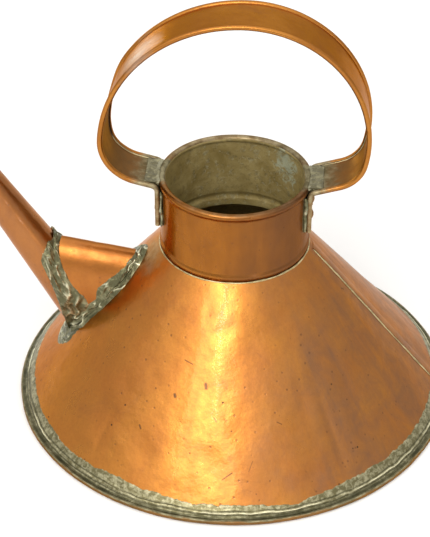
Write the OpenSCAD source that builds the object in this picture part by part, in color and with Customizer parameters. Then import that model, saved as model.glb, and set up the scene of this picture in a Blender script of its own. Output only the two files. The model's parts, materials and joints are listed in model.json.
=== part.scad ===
// Copper watering can: conical body, rolled-rim neck, wired strap handle,
// tapered spout with a soldered boot, and a rose that pulls off the spout's tip.
// The origin is the centre of the base on the floor. The spout points to -X, up is +Z.

/* [Base] */
// Outer diameter of the folded rim that the can stands on
base_d = 300; // [280:1:330]
// Width of the base's folded lip
lip_w = 4; // [3:0.5:5]
// Thickness of the copper sheet of base, body and neck
sheet_t = 1; // [0.8:0.1:1.2]

/* [Body] */
// Height of the body's upper edge, where the neck stands
cone_top_z = 120; // [110:0.5:130]
// Outer radius of the body's upper edge
cone_top_r = 50; // [49.8:0.1:50.4]
// Width of the lap where the body sheet overlaps itself, opposite the spout
lap_w = 8; // [6:1:12]
// Distance of the lap's soldered edge from the middle of the can
lap_edge_y = 2; // [0:0.5:4]

/* [Neck] */
// Outer diameter of the neck
neck_d = 98.4; // [98:0.1:98.8]
// Height of the centre of the rolled rim above the body's upper edge
neck_h = 50.2; // [46:0.2:55]
// Diameter of the rolled rim
roll_d = 5; // [4.6:0.1:5.4]
// Diameter of the iron wire in the rolled rim
rim_wire_d = 2.8; // [2:0.1:3]
// Height of the swaged bead above the body's upper edge
bead_h = 6; // [5:0.5:8]
// How far the swaged bead stands out of the neck
bead_out = 1; // [0.6:0.1:1.2]
// How far the neck's lower edge reaches down inside the body
neck_tuck = 4.5; // [3:0.5:6]

/* [Handle] */
// Distance between the centres of the handle's two wired edges
handle_w = 32; // [30:0.5:38]
// Thickness of the handle's sheet
strap_t = 0.7; // [0.6:0.05:0.8]
// Outer diameter of the wired edges
hem_d = 3.5; // [3.4:0.1:4]
// Diameter of the wire in each edge
hem_wire_d = 1.6; // [1.4:0.1:1.7]
// Height of the top of the handle's centre line
handle_top_z = 289; // [280:1:300]
// How far the top of the handle lies behind the middle of the neck
crown_x = 5.7; // [0:0.1:8]
// Radius of the arch on the spout's side
front_r = 92; // [88:1:96]
// Radius of the turn below the arch on the spout's side
front_cheek_r = 29; // [26:1:32]
// Radius of the arch on the seam's side
rear_r = 80; // [76:1:84]
// Radius of the turn below the arch on the seam's side
rear_cheek_r = 22.5; // [20:0.5:25]
// Radius of the bend down to each foot
ankle_r = 4.5; // [3.5:0.5:6]
// Height of the lower end of the feet
foot_z = 140; // [136:1:144]

/* [Spout] */
// Height at which the spout's axis meets the body
spout_z = 56.4; // [54:0.2:58]
// Angle of the spout above the floor, in degrees
spout_angle = 58.6; // [57:0.2:60]
// Length of the spout from the body to its tip
spout_len = 200; // [180:1:220]
// Outer radius of the spout where its axis meets the body
spout_foot_r = 17.2; // [16.8:0.1:17.6]
// Outer radius of the spout at its tip
spout_tip_r = 6.2; // [5.8:0.1:7]
// Thickness of the spout's and boot's sheet
spout_t = 0.9; // [0.8:0.1:1]
// Height of the boot's ridge where it meets the spout
boot_top_z = 115.4; // [110:0.2:120]
// Fall of the boot's ridge towards the body, in degrees
boot_fall = 9.6; // [8:0.2:11]

/* [Rose] */
// Outer radius of the rose's face
rose_r = 33; // [28:1:38]
// Length of the rose's funnel
funnel_len = 38; // [32:1:44]
// Length of the socket that sits on the spout
socket_len = 26; // [20:1:30]
// Radial clearance between the socket and the spout
socket_gap = 0.08; // [0.05:0.01:0.1]
// Diameter of each spray hole
spray_hole_d = 1.6; // [1.2:0.1:1.8]
// Number of rings of spray holes round the middle one
spray_rings = 5; // [3:1:5]

/* [Hidden] */
$fn = 96;
fine_fn = 360;                  // facets of the rounds that thin solder lies against
fit = 0.05;                     // gap between sheets that are soldered together
copper = "#b8693c";
old_solder = "#8d8f78";
iron = "#55504a";
brass = "#b08a4a";

// The cone's outer surface, from the top of the base's lip to the neck
base_r = base_d / 2;
flange_z = sheet_t + fit;
lip_z = flange_z + sheet_t + fit;
cone_foot_z = lip_z + sheet_t;
cone_foot_r = base_r - lip_w;
cone_slope = (cone_foot_r - cone_top_r) / (cone_top_z - cone_foot_z);
cone_lean = atan(1 / cone_slope);
wall_r = sheet_t / sin(cone_lean);      // the sheet's thickness measured level
lap_t = 0.9;                            // the lap's step over the cone, measured level
function cone_r(z) = cone_foot_r - (z - cone_foot_z) * cone_slope;

// Neck
neck_r = neck_d / 2;
neck_in_r = neck_r - sheet_t;
rim_z = cone_top_z + neck_h;
roll_r = roll_d / 2;
roll_centre_r = neck_r - 1.2;

// Handle: the centre line of each side, from the top down, as [x, z, normal x, normal z]
front_turns = [86, 166];        // heading after the arch and after the turn below it
rear_turns = [102, 162.5];
arc_step = 9;
strap_x = neck_r + fit + strap_t / 2;
function tail(list) = [for (i = [1:len(list) - 1]) list[i]];
function arc(centre, r, from, to) =
    let (n = ceil(abs(to - from) / arc_step))
    [for (i = [0:n]) let (a = from + (to - from) * i / n)
        [centre[0] + r * sin(a), centre[1] + r * cos(a), sin(a), cos(a)]];
function side_path(side, arch_r, cheek_r, turns) =
    let (
        turn = turns[1],
        foot_x = strap_x - side * crown_x,
        arch_c = [0, handle_top_z - arch_r],
        cheek_c = arch_c + (arch_r - cheek_r) * [sin(turns[0]), cos(turns[0])],
        run_start = cheek_c + cheek_r * [sin(turn), cos(turn)],
        run_len = (run_start[0] - foot_x - ankle_r * (1 - sin(turn))) / -cos(turn),
        ankle_c = run_start + run_len * [cos(turn), -sin(turn)] + ankle_r * [sin(turn), cos(turn)]
    )
    [for (p = concat(
        arc(arch_c, arch_r, 0, turns[0]),
        tail(arc(cheek_c, cheek_r, turns[0], turn)),
        arc(ankle_c, -ankle_r, turn, 90),
        [[foot_x, foot_z, 1, 0]]
    )) [crown_x + side * p[0], p[1], side * p[2], p[3]]];
front_path = side_path(-1, front_r, front_cheek_r, front_turns);
rear_path = side_path(1, rear_r, rear_cheek_r, rear_turns);
strap_path = concat([for (i = [len(front_path) - 1:-1:0]) front_path[i]], tail(rear_path));

// Section of the handle's sheet: two hems curled round the wires, as [y, height over the centre line]
hem_r = hem_d / 2;
hem_in_r = hem_r - strap_t;
hem_c = handle_w / 2;
hem_join = asin(strap_t / 2 / hem_r);
hem_end = -140;
hem_points = 7;
hem_in_end = 180 + asin(strap_t / 2 / hem_in_r);
function curl(r, from, to, n) =
    [for (i = [0:n]) let (a = from + (to - from) * i / n) [hem_c + r * cos(a), r * sin(a)]];
right_hem = concat(
    curl(hem_r, 180 - hem_join, hem_end, hem_points),
    curl(hem_in_r, hem_end, hem_in_end, hem_points)
);
strap_section = concat(
    right_hem,
    [for (i = [len(right_hem) - 1:-1:0]) [-right_hem[i][0], right_hem[i][1]]]
);

// Rivets of the handle's feet
rivet_y = 9;
rivet_z = 149.5;
rivet_shank_r = 1.6;
rivet_hole_r = rivet_shank_r + fit;
rivet_head_r = 3.2;
rivet_head_h = 2.6;

// Spout
spout_foot = [-cone_r(spout_z), 0, spout_z];
spout_taper = (spout_foot_r - spout_tip_r) / spout_len;
spout_lean = 90 - spout_angle;
spout_below = 45;               // how far the uncut tube reaches below its foot
function spout_r(s) = spout_foot_r - spout_taper * s;
function on_spout(s) = spout_foot + s * [-sin(spout_lean), 0, cos(spout_lean)];

// Boot: it continues the spout's own outline from a mitre to the body. The mitre is a plane from
// where the spout's lower line meets the body up to where its upper line meets the boot's ridge.
function under_spout(s) =
    [spout_foot[0] - s * sin(spout_lean) - spout_r(s) * cos(spout_lean),
     spout_z + s * cos(spout_lean) - spout_r(s) * sin(spout_lean)];
function over_spout(s) =
    [spout_foot[0] - s * sin(spout_lean) + spout_r(s) * cos(spout_lean),
     spout_z + s * cos(spout_lean) + spout_r(s) * sin(spout_lean)];
low_gain = sin(spout_lean) - spout_taper * cos(spout_lean)
    + cone_slope * (cos(spout_lean) + spout_taper * sin(spout_lean));
mitre_low_s = -spout_foot_r * (cos(spout_lean) - cone_slope * sin(spout_lean)) / low_gain;
mitre_high_s = (boot_top_z - over_spout(0)[1]) / (over_spout(1)[1] - over_spout(0)[1]);
mitre_low = under_spout(mitre_low_s);
mitre_high = over_spout(mitre_high_s);
mitre_mid = (mitre_low + mitre_high) / 2;
mitre_tan = (mitre_low[0] - mitre_high[0]) / (mitre_high[1] - mitre_low[1]);
boot_r = sqrt(spout_r(mitre_low_s) * spout_r(mitre_high_s));    // half the width of the mitre's ellipse
boot_half_h = (mitre_high[1] - mitre_low[1]) / 2 * (1 - mitre_tan * tan(boot_fall));
boot_lead = 10;                 // how far the uncut boot starts before the mitre
boot_len = 90;

// Strainer and the outlet behind it
outlet_r = 11;
outlet_low_z = 62;
outlet_high_z = 84;
strainer_margin = 5;
strainer_t = 0.8;
strainer_hole_r = 1.6;
strainer_pitch = 6;

// Rose, measured along the spout's axis
socket_t = 0.9;
socket_from = spout_len - socket_len;
funnel_from = spout_len + 3;
funnel_to = funnel_from + funnel_len;
funnel_rim = 3;
funnel_t = 0.8;
socket_end = funnel_from + 3;
socket_top_r = spout_r(spout_len) + socket_gap + socket_t;
face_rise = 5;
face_t = 0.8;
spray_pitch = 5.4;

// ---------- helpers ----------

// A solid cone that follows the body's outer surface, grown outwards by grow
module body_envelope(grow = 0) {
    translate([0, 0, cone_foot_z - 8])
        cylinder(h = cone_top_z - cone_foot_z + 16, r1 = cone_r(cone_foot_z - 8) + grow,
                 r2 = cone_r(cone_top_z + 8) + grow);
}

// A strip on the body's outer surface opposite the spout, from y0 to y1, between two level offsets
module body_strip(y0, y1, under, over) {
    low_z = cone_foot_z + 4;
    intersection() {
        difference() {
            body_envelope(over);
            body_envelope(under);
        }
        translate([0, y0, low_z]) cube([base_r, y1 - y0, cone_top_z - 3 - low_z]);
    }
}

// Sweeps a closed section of [y, height] points along a path of [x, z, normal x, normal z]
module sweep(path, section) {
    n = len(section);
    points = [for (p = path) for (s = section) [p[0] + s[1] * p[2], s[0], p[1] + s[1] * p[3]]];
    last = (len(path) - 1) * n;
    sides = [for (i = [0:len(path) - 2]) for (j = [0:n - 1])
        let (a = i * n + j, b = i * n + (j + 1) % n) each [[a, b + n, a + n], [a, b, b + n]]];
    polyhedron(points, concat(sides, [[for (j = [n - 1:-1:0]) j]], [[for (j = [0:n - 1]) last + j]]));
}

module hem_wire(side) {
    wire_r = hem_wire_d / 2;
    section = [for (a = [0:-45:-315]) [side * hem_c + wire_r * cos(a), wire_r * sin(a)]];
    color(iron) sweep(strap_path, section);
}

// Places its children at the four rivets, with +Z pointing out of the neck
module at_rivets() {
    for (side = [-1, 1]) for (y = [-rivet_y, rivet_y])
        translate([0, y, rivet_z]) rotate([0, side * 90, 0]) children();
}

// Stands its children on the spout's foot with +Z along the spout's axis
module along_spout() {
    translate(spout_foot) rotate([0, -spout_lean, 0]) children();
}

module spout_solid(grow = 0) {
    along_spout() translate([0, 0, -spout_below])
        cylinder(h = spout_len + spout_below, r1 = spout_r(-spout_below) + grow, r2 = spout_tip_r + grow);
}

// Everything between two distances from the mitre, counted from it towards the body
module mitre_slab(from, to) {
    size = 2 * spout_len;
    translate([mitre_mid[0], 0, mitre_mid[1]]) rotate([0, -atan(mitre_tan), 0])
        translate([from, -size / 2, -size / 2]) cube([to - from, size, size]);
}

// The spout as far as the mitre, grown outwards by grow
module mitred_spout(grow = 0) {
    difference() {
        spout_solid(grow);
        mitre_slab(0, base_r);
    }
}

// A level oval bar through the body's wall on the spout's side, of radius r between the outlet's centres
module outlet_bar(r) {
    outline = concat(
        [for (a = [0:12:180]) [r * cos(a), outlet_high_z + r * sin(a)]],
        [for (a = [180:12:360]) [r * cos(a), outlet_low_z + r * sin(a)]]
    );
    multmatrix([[0, 0, 1, -base_r], [1, 0, 0, 0], [0, 1, 0, 0], [0, 0, 0, 1]])
        linear_extrude(base_r - 20) polygon(outline);
}

// The boot's ellipse carried from before the mitre towards the body, falling on its way
module boot_bar(grow = 0) {
    start = mitre_mid - boot_lead * [1, -tan(boot_fall)];
    outline = [for (a = [0:6:354]) [(boot_r + grow) * cos(a), (boot_half_h + grow) * sin(a)]];
    multmatrix([[0, 0, 1, start[0]], [1, 0, 0, 0], [0, 1, -tan(boot_fall), start[1]], [0, 0, 0, 1]])
        linear_extrude(boot_len) polygon(outline);
}

// A cone frustum shell along the spout's axis
module spout_sleeve(from, to, r_from, r_to, thick) {
    along_spout() translate([0, 0, from]) difference() {
        cylinder(h = to - from, r1 = r_from + thick, r2 = r_to + thick);
        translate([0, 0, -0.001]) cylinder(h = to - from + 0.002, r1 = r_from, r2 = r_to);
    }
}

// ---------- body ----------

module base_disc() {
    color(copper) rotate_extrude() polygon([
        [0, 0], [base_r - 0.6, 0], [base_r, 0.6], [base_r, cone_foot_z - 0.6],
        [base_r - 0.6, cone_foot_z], [cone_foot_r + 0.3, cone_foot_z], [cone_foot_r + 0.3, lip_z],
        [base_r - sheet_t, lip_z], [base_r - sheet_t, sheet_t], [0, sheet_t]
    ]);
}

module base_seam_solder() {
    top_z = cone_foot_z + 3.6;
    color(old_solder) rotate_extrude() polygon([
        [cone_r(cone_foot_z + fit) + fit, cone_foot_z + fit], [base_r - 1.4, cone_foot_z + fit],
        [base_r - 1.8, cone_foot_z + 0.5], [cone_foot_r + 0.6, cone_foot_z + 1.5],
        [cone_r(top_z) + 0.5, top_z], [cone_r(top_z) + fit, top_z]
    ]);
}

module body_cone() {
    inner_foot_r = cone_foot_r - wall_r + (cone_foot_z - lip_z) * cone_slope;
    color(copper) difference() {
        union() {
            rotate_extrude() polygon([
                [cone_foot_r, cone_foot_z], [cone_foot_r, lip_z - fit],
                [base_r - sheet_t - fit, lip_z - fit], [base_r - sheet_t - fit, flange_z],
                [cone_r(flange_z) - wall_r, flange_z],
                [neck_r + fit, cone_top_z], [cone_top_r, cone_top_z]
            ]);
            body_strip(-lap_edge_y, lap_w - lap_edge_y, -0.3, lap_t);
        }
        outlet_bar(outlet_r);
    }
}

module body_seam_solder() {
    color(old_solder) body_strip(-lap_edge_y - 1.3, -lap_edge_y - fit, 0.02, lap_t - 0.2);
}

// ---------- neck ----------

module neck_collar() {
    bead_r = (bead_h * bead_h / 4 + bead_out * bead_out) / (2 * bead_out);
    bead_half = asin(bead_h / 2 / bead_r);
    bead_mid = cone_top_z + fit + bead_h / 2;
    function bead(r) = [for (i = [-4:4]) let (a = bead_half * i / 4)
        [r + bead_out - bead_r * (1 - cos(a)), bead_mid + bead_r * sin(a)]];
    inner = bead(neck_in_r);
    color(copper) difference() {
        union() {
            rotate_extrude() polygon(concat(
                [[neck_in_r, cone_top_z - neck_tuck], [neck_r, cone_top_z - neck_tuck]],
                bead(neck_r),
                [[neck_r, rim_z - 1], [neck_in_r, rim_z - 1]],
                [for (i = [8:-1:0]) inner[i]]
            ));
            rotate_extrude() translate([roll_centre_r, rim_z]) circle(r = roll_r);
        }
        rotate_extrude() translate([roll_centre_r, rim_z]) circle(r = rim_wire_d / 2 + fit);
        at_rivets() cylinder(h = base_r, r = rivet_hole_r);
    }
}

module neck_rim_wire() {
    color(iron) rotate_extrude() translate([roll_centre_r, rim_z]) circle(r = rim_wire_d / 2);
}

module neck_foot_solder() {
    color(old_solder) rotate_extrude() polygon([
        [cone_top_r - 0.5, cone_top_z + 0.02], [cone_top_r, cone_top_z + 0.02],
        [cone_top_r + 0.7, cone_top_z - 0.7], [cone_top_r + 0.9, cone_top_z - 0.2],
        [cone_top_r + 0.5, cone_top_z + 0.6], [cone_top_r - 0.3, cone_top_z + 0.9]
    ]);
}

// ---------- handle ----------

module handle_strap() {
    color(copper) difference() {
        sweep(strap_path, strap_section);
        at_rivets() cylinder(h = neck_r + 10, r = rivet_hole_r);
    }
}

module handle_wire_left() {
    hem_wire(-1);
}

module handle_wire_right() {
    hem_wire(1);
}

module handle_rivets() {
    outer = strap_x + strap_t / 2;
    inner = sqrt(neck_in_r * neck_in_r - pow(rivet_y + rivet_head_r, 2)) - 0.1;
    color(copper) at_rivets() {
        translate([0, 0, inner]) cylinder(h = outer - inner + 0.3, r = rivet_shank_r);
        translate([0, 0, outer + 0.02]) cylinder(h = rivet_head_h, r1 = rivet_head_r, r2 = 1.4);
        translate([0, 0, inner - 1]) cylinder(h = 1, r1 = 1.6, r2 = rivet_head_r - 0.6);
    }
}

// Solder of one foot: wedges between the flat foot and the round neck, and a fillet in the ankle
module handle_solder(side, path, turn) {
    half_w = hem_c - hem_r - 0.3;
    gap = strap_t / 2 + 0.1;
    reach = 6;                  // how far the fillet runs out along the strap
    low_z = rim_z - roll_r - 4;
    ankle = [for (p = path) if (abs(p[0]) < strap_x + ankle_r + 0.1 && p[1] > low_z && p[1] < rim_z + 20)
        [side * (p[0] - gap * p[2]), p[1] - gap * p[3]]];
    fillet = concat(
        [[40, rim_z + roll_r - 0.3], ankle[0] + [reach, 0.3 - reach * tan(turn)],
         ankle[0] + [reach, -reach * tan(turn)]],
        ankle,
        [[40, low_z + 2]]
    );
    color(old_solder) mirror([side < 0 ? 1 : 0, 0, 0]) {
        difference() {
            translate([0, -half_w, foot_z + 1])
                cube([strap_x - strap_t / 2 - 0.02, 2 * half_w, low_z - foot_z - 1]);
            cylinder(h = rim_z, r = neck_r + 0.02, $fn = fine_fn);
            at_rivets() cylinder(h = base_r, r = rivet_hole_r);
        }
        difference() {
            translate([0, half_w, 0]) rotate([90, 0, 0]) linear_extrude(2 * half_w) polygon(fillet);
            cylinder(h = rim_z + 40, r = roll_centre_r + roll_r + 0.02, $fn = fine_fn);
        }
    }
}

module handle_solder_front() {
    handle_solder(-1, front_path, front_turns[1]);
}

module handle_solder_rear() {
    handle_solder(1, rear_path, rear_turns[1]);
}

// ---------- spout ----------

module spout_strainer() {
    rows = 8;
    columns = 5;
    slope_step = strainer_pitch * sin(cone_lean);
    mid_z = (outlet_low_z + outlet_high_z) / 2;
    color(copper) difference() {
        intersection() {
            body_envelope(-wall_r - fit);
            outlet_bar(outlet_r + strainer_margin);
        }
        body_envelope(-wall_r - fit - strainer_t);
        for (i = [0:rows - 1]) for (j = [0:columns - 1 - i % 2])
            let (z = mid_z + (i - (rows - 1) / 2) * slope_step, y = (j - (columns - 1 - i % 2) / 2) * 4.6)
            translate([-cone_r(z) + wall_r, y, z]) rotate([0, -cone_lean, 0])
                cylinder(h = 12, r = strainer_hole_r, center = true);
    }
}

module spout_boot() {
    color(copper) difference() {
        intersection() {
            boot_bar();
            mitre_slab(0, base_r);
        }
        boot_bar(-spout_t);
        body_envelope(fit);
    }
}

module spout_tube() {
    color(copper) difference() {
        mitred_spout();
        along_spout() translate([0, 0, -spout_below - 0.001])
            cylinder(h = spout_len + spout_below + 0.002, r1 = spout_r(-spout_below) - spout_t,
                     r2 = spout_tip_r - spout_t);
        body_envelope(fit);
    }
}

module spout_seam_solder() {
    from = 22;
    to = socket_from - 4;
    half_angle = atan(spout_taper);
    color(old_solder) difference() {
        along_spout() translate([-spout_r(from), 0, from]) rotate([0, half_angle, 0])
            cylinder(h = to - from, r = 1);
        spout_solid(0.02);
    }
}

module spout_boot_solder() {
    band = 3.5;                 // how far the solder reaches to each side of the mitre
    rise = 1.4;
    overlap = 0.05;             // of the part on the spout and the part on the boot
    color(old_solder) difference() {
        union() {
            difference() {
                intersection() {
                    spout_solid(rise);
                    mitre_slab(-band, overlap);
                }
                spout_solid(0.02);
            }
            difference() {
                intersection() {
                    boot_bar(rise);
                    mitre_slab(-overlap, band);
                }
                boot_bar(0.02);
            }
        }
        body_envelope(2.1);
    }
}

module spout_foot_solder() {
    color(old_solder) difference() {
        intersection() {
            boot_bar(4.5);
            body_envelope(2);
        }
        body_envelope(0.02);
        boot_bar(0.02);
        mitred_spout(0.02);
    }
}

// ---------- rose ----------

module rose_socket() {
    from_r = spout_r(socket_from) + socket_gap;
    to_r = spout_r(spout_len) + socket_gap;
    color(brass) {
        spout_sleeve(socket_from, spout_len, from_r, to_r, socket_t);
        spout_sleeve(spout_len, socket_end, to_r, to_r, socket_t);
        spout_sleeve(socket_from, socket_from + 2, from_r + 0.3, from_r + 0.3, 1.6);
    }
}

module rose_funnel() {
    color(copper) along_spout() rotate_extrude() polygon([
        [socket_top_r + fit, funnel_from - 1], [socket_top_r + fit + funnel_t, funnel_from - 1],
        [rose_r, funnel_to], [rose_r, funnel_to + funnel_rim],
        [rose_r - funnel_t, funnel_to + funnel_rim], [rose_r - funnel_t, funnel_to + 0.3],
        [socket_top_r + fit, funnel_from + 0.6]
    ]);
}

module rose_face() {
    dome_r = (rose_r * rose_r + face_rise * face_rise) / (2 * face_rise);
    edge = asin(rose_r / dome_r);
    seat = funnel_to + funnel_rim + fit;
    function dome(r) = [for (i = [0:8]) let (a = edge * i / 8)
        [r * sin(a), seat + face_rise - dome_r + r * cos(a)]];
    under = dome(dome_r);
    color(brass) along_spout() difference() {
        rotate_extrude() polygon(concat(
            dome(dome_r + face_t),
            [[rose_r + 1, seat + face_t * 0.6], [rose_r + 1, funnel_to + 0.2],
             [rose_r + fit, funnel_to + 0.2], [rose_r + fit, seat]],
            [for (i = [8:-1:0]) under[i]]
        ));
        for (ring = [0:spray_rings], i = [0:max(6 * ring, 1) - 1])
            rotate([0, 0, i * 360 / max(6 * ring, 1)]) translate([ring * spray_pitch, 0, seat - 1])
                cylinder(h = face_rise + 4, r = spray_hole_d / 2);
    }
}

module rose_neck_solder() {
    color(old_solder) along_spout() translate([0, 0, funnel_from - 3]) difference() {
        cylinder(h = 1.95, r1 = socket_top_r + 0.3, r2 = socket_top_r + 1.4);
        translate([0, 0, -1]) cylinder(h = 4, r = socket_top_r + 0.02);
    }
}

module rose_rim_solder() {
    color(old_solder) along_spout() rotate_extrude() polygon([
        [rose_r + 0.1, funnel_to + 0.15], [rose_r + 0.9, funnel_to + 0.15], [rose_r - 0.1, funnel_to - 0.8],
        [rose_r - 0.25, funnel_to - 0.5]
    ]);
}

base_disc();
base_seam_solder();
body_cone();
body_seam_solder();
neck_collar();
neck_rim_wire();
neck_foot_solder();
handle_strap();
handle_wire_left();
handle_wire_right();
handle_rivets();
handle_solder_front();
handle_solder_rear();
spout_strainer();
spout_boot();
spout_tube();
spout_seam_solder();
spout_boot_solder();
spout_foot_solder();
rose_socket();
rose_funnel();
rose_face();
rose_neck_solder();
rose_rim_solder();
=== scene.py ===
"""Looks of an old copper watering can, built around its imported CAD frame. Lengths are in millimetres."""
import json
import math

import bmesh
import bpy
import numpy as np
from mathutils import Matrix, Vector

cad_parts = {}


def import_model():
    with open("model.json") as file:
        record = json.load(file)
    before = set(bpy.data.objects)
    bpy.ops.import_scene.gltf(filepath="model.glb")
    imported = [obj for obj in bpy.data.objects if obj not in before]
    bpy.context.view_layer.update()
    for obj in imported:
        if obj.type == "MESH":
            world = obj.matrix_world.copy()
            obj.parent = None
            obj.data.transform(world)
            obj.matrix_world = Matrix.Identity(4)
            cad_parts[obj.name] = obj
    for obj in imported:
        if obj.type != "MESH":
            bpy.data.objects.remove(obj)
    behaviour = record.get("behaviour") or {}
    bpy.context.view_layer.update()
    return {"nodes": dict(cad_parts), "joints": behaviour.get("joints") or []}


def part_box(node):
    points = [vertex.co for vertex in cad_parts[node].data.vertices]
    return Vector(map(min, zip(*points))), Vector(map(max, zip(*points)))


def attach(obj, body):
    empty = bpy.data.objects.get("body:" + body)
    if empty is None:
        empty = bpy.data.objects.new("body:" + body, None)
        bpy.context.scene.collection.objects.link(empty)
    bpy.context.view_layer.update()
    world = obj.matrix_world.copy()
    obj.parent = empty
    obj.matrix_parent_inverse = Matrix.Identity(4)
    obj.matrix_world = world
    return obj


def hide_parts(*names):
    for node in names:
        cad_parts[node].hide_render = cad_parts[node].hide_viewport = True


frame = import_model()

MM = 0.001


def node_box(node):
    """Lowest and highest corner of a CAD node, in millimetres."""
    low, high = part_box(node)
    return np.array(low) / MM, np.array(high) / MM


# ---------- sizes ----------

SHEET = 1.0
BASE_R = node_box("base_disc")[1][0]
LIP_TOP_Z = node_box("base_disc")[1][2]
LIP_W = 4.0
CONE_FOOT_R = BASE_R - LIP_W
CONE_TOP_Z = node_box("body_cone")[1][2]
CONE_TOP_R = 50.0
CONE_SLOPE = (CONE_FOOT_R - CONE_TOP_R) / (CONE_TOP_Z - LIP_TOP_Z)
CONE_NORMAL_R = 1 / math.hypot(1, CONE_SLOPE)       # level part of the cone's normal
CONE_NORMAL_Z = CONE_SLOPE / math.hypot(1, CONE_SLOPE)
WALL_LEVEL = SHEET / CONE_NORMAL_R                  # the cone's sheet measured level

NECK_LOW_Z = node_box("neck_collar")[0][2]
NECK_R = 49.2
ROLL_R = 2.5
ROLL_Z = node_box("neck_collar")[1][2] - ROLL_R
ROLL_CENTRE_R = node_box("neck_collar")[1][0] - ROLL_R
BEAD_Z = CONE_TOP_Z + 3.05
BEAD_HALF = 3.0
BEAD_OUT = 1.0

HEM_R = 1.75
HEM_Y = node_box("handle_strap")[1][1] - HEM_R
STRAP_T = 0.7
STRAP_X = NECK_R + 0.4
HANDLE_TOP_Z = node_box("handle_strap")[1][2] - HEM_R
CROWN_X = 5.7
ANKLE_R = 4.5
FOOT_Z = node_box("handle_strap")[0][2]
RIVET_Y = 9.0
RIVET_Z = 149.5

AXIS = np.array(frame["joints"][0]["axis"], float)
AXIS /= np.linalg.norm(AXIS)
OVER = np.array([AXIS[2], 0.0, -AXIS[0]])           # square to the spout, on its upper side
SIDE = np.array([0.0, 1.0, 0.0])
SPOUT_Z = 56.4
SPOUT_FOOT = np.array([-(CONE_FOOT_R - (SPOUT_Z - LIP_TOP_Z) * CONE_SLOPE), 0.0, SPOUT_Z])
SPOUT_LEN = 200.0
SPOUT_FOOT_R = 17.2
SPOUT_TIP_R = 6.2
TAPER = (SPOUT_FOOT_R - SPOUT_TIP_R) / SPOUT_LEN
SPOUT_T = 0.9
BOOT_TOP_Z = 115.4
BOOT_FALL = math.tan(math.radians(9.6))


# ---------- surfaces that pieces lie on ----------

def cone_r(z):
    return CONE_FOOT_R - (z - LIP_TOP_Z) * CONE_SLOPE


def spout_r(s):
    return SPOUT_FOOT_R - TAPER * s


def spout_line(side, s):
    """The spout's upper line (side 1) or lower line (side -1)."""
    return SPOUT_FOOT + s * AXIS + side * spout_r(s) * OVER


def cone_gap(p):
    """How far points stand out of the cone, square to it."""
    return (np.hypot(p[..., 0], p[..., 1]) - cone_r(p[..., 2])) * CONE_NORMAL_R


def spout_gap(p):
    """How far points stand out of the spout's outer face."""
    along = (p - SPOUT_FOOT) @ AXIS
    off = p - SPOUT_FOOT - along[..., None] * AXIS
    return np.linalg.norm(off, axis=-1) - spout_r(along)


# The mitre runs from where the spout's lower line meets the body to where its upper line meets the boot's top
low_gap = [cone_gap(spout_line(-1, s)) for s in (0.0, 1.0)]
LOW_S = -low_gap[0] / (low_gap[1] - low_gap[0])
HIGH_S = (BOOT_TOP_Z - spout_line(1, 0)[2]) / (spout_line(1, 1)[2] - spout_line(1, 0)[2])
MITRE_LOW, MITRE_HIGH = spout_line(-1, LOW_S), spout_line(1, HIGH_S)
MITRE_MID = (MITRE_LOW + MITRE_HIGH) / 2
MITRE_UP = (MITRE_HIGH - MITRE_LOW) / np.linalg.norm(MITRE_HIGH - MITRE_LOW)
MITRE_IN = np.array([MITRE_UP[2], 0.0, -MITRE_UP[0]])       # square to the mitre, towards the body
BOOT_RUN = np.array([1.0, 0.0, -BOOT_FALL]) / math.hypot(1, BOOT_FALL)
BOOT_R = math.sqrt(spout_r(LOW_S) * spout_r(HIGH_S))
MITRE_LEAN = -MITRE_UP[0] / MITRE_UP[2]
BOOT_HALF_H = (MITRE_HIGH[2] - MITRE_LOW[2]) / 2 * (1 - MITRE_LEAN * BOOT_FALL)


def boot_gap(p):
    """About how far points stand out of the boot's outer face."""
    height = p[..., 2] - MITRE_MID[2] + (p[..., 0] - MITRE_MID[0]) * BOOT_FALL
    share = np.hypot(p[..., 1] / BOOT_R, height / BOOT_HALF_H)
    return (1 - 1 / np.maximum(share, 1e-6)) * np.hypot(p[..., 1], height)


def reach(start, direction, gap, level, most=70.0):
    """Points along rays from start where gap reaches level."""
    near, far = np.zeros(level.shape), np.full(level.shape, most)
    for _ in range(36):
        middle = (near + far) / 2
        beyond = gap(start + middle[..., None] * direction) > level
        far = np.where(beyond, middle, far)
        near = np.where(beyond, near, middle)
    return start + near[..., None] * direction


def unit(vectors):
    """The same directions at length 1."""
    return vectors / np.maximum(np.linalg.norm(vectors, axis=-1, keepdims=True), 1e-9)


def xyz(x, y, z):
    """Points from their coordinates, each an array or one number for all."""
    return np.stack(np.broadcast_arrays(x, y, z), -1)


def normal_of(gap, p):
    """Outward direction of a surface's gap at points p."""
    step = 0.05
    slope = [gap(p + step * axis) - gap(p - step * axis) for axis in np.eye(3)]
    return unit(np.stack(slope, -1))


# ---------- noise and curves ----------

def noise(p, size, seed):
    """Smooth noise, about -1 to 1, at points p. size is one feature size, or one for each axis."""
    total, weight, scale = 0.0, 1.0, 1.0
    for octave in range(2):
        q = p / np.asarray(size, float) * scale + 31.7 * (seed + 1) + 7.3 * octave
        cell = np.floor(q).astype(np.int64)
        f = q - cell
        f = f * f * (3 - 2 * f)
        value = 0.0
        for corner in np.ndindex(2, 2, 2):
            at = cell + np.array(corner)
            h = at[..., 0] * 73856093 ^ at[..., 1] * 19349663 ^ at[..., 2] * 83492791
            h = (h ^ (h >> 13)) * 1274126177 & 0x7FFFFFFF
            h = (h ^ (h >> 15)) & 0xFFFF
            share = np.prod(np.where(np.array(corner) == 1, f, 1 - f), axis=-1)
            value = value + share * (h / 32767.5 - 1)
        total = total + weight * value
        weight *= 0.5
        scale *= 2.03
    return total


def ridges(p, size, seed):
    """Noise from 0 to 1 with sharp crests, as molten solder sets."""
    return (1 - np.abs(np.clip(noise(p, size, seed), -1, 1))) ** 2


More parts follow.
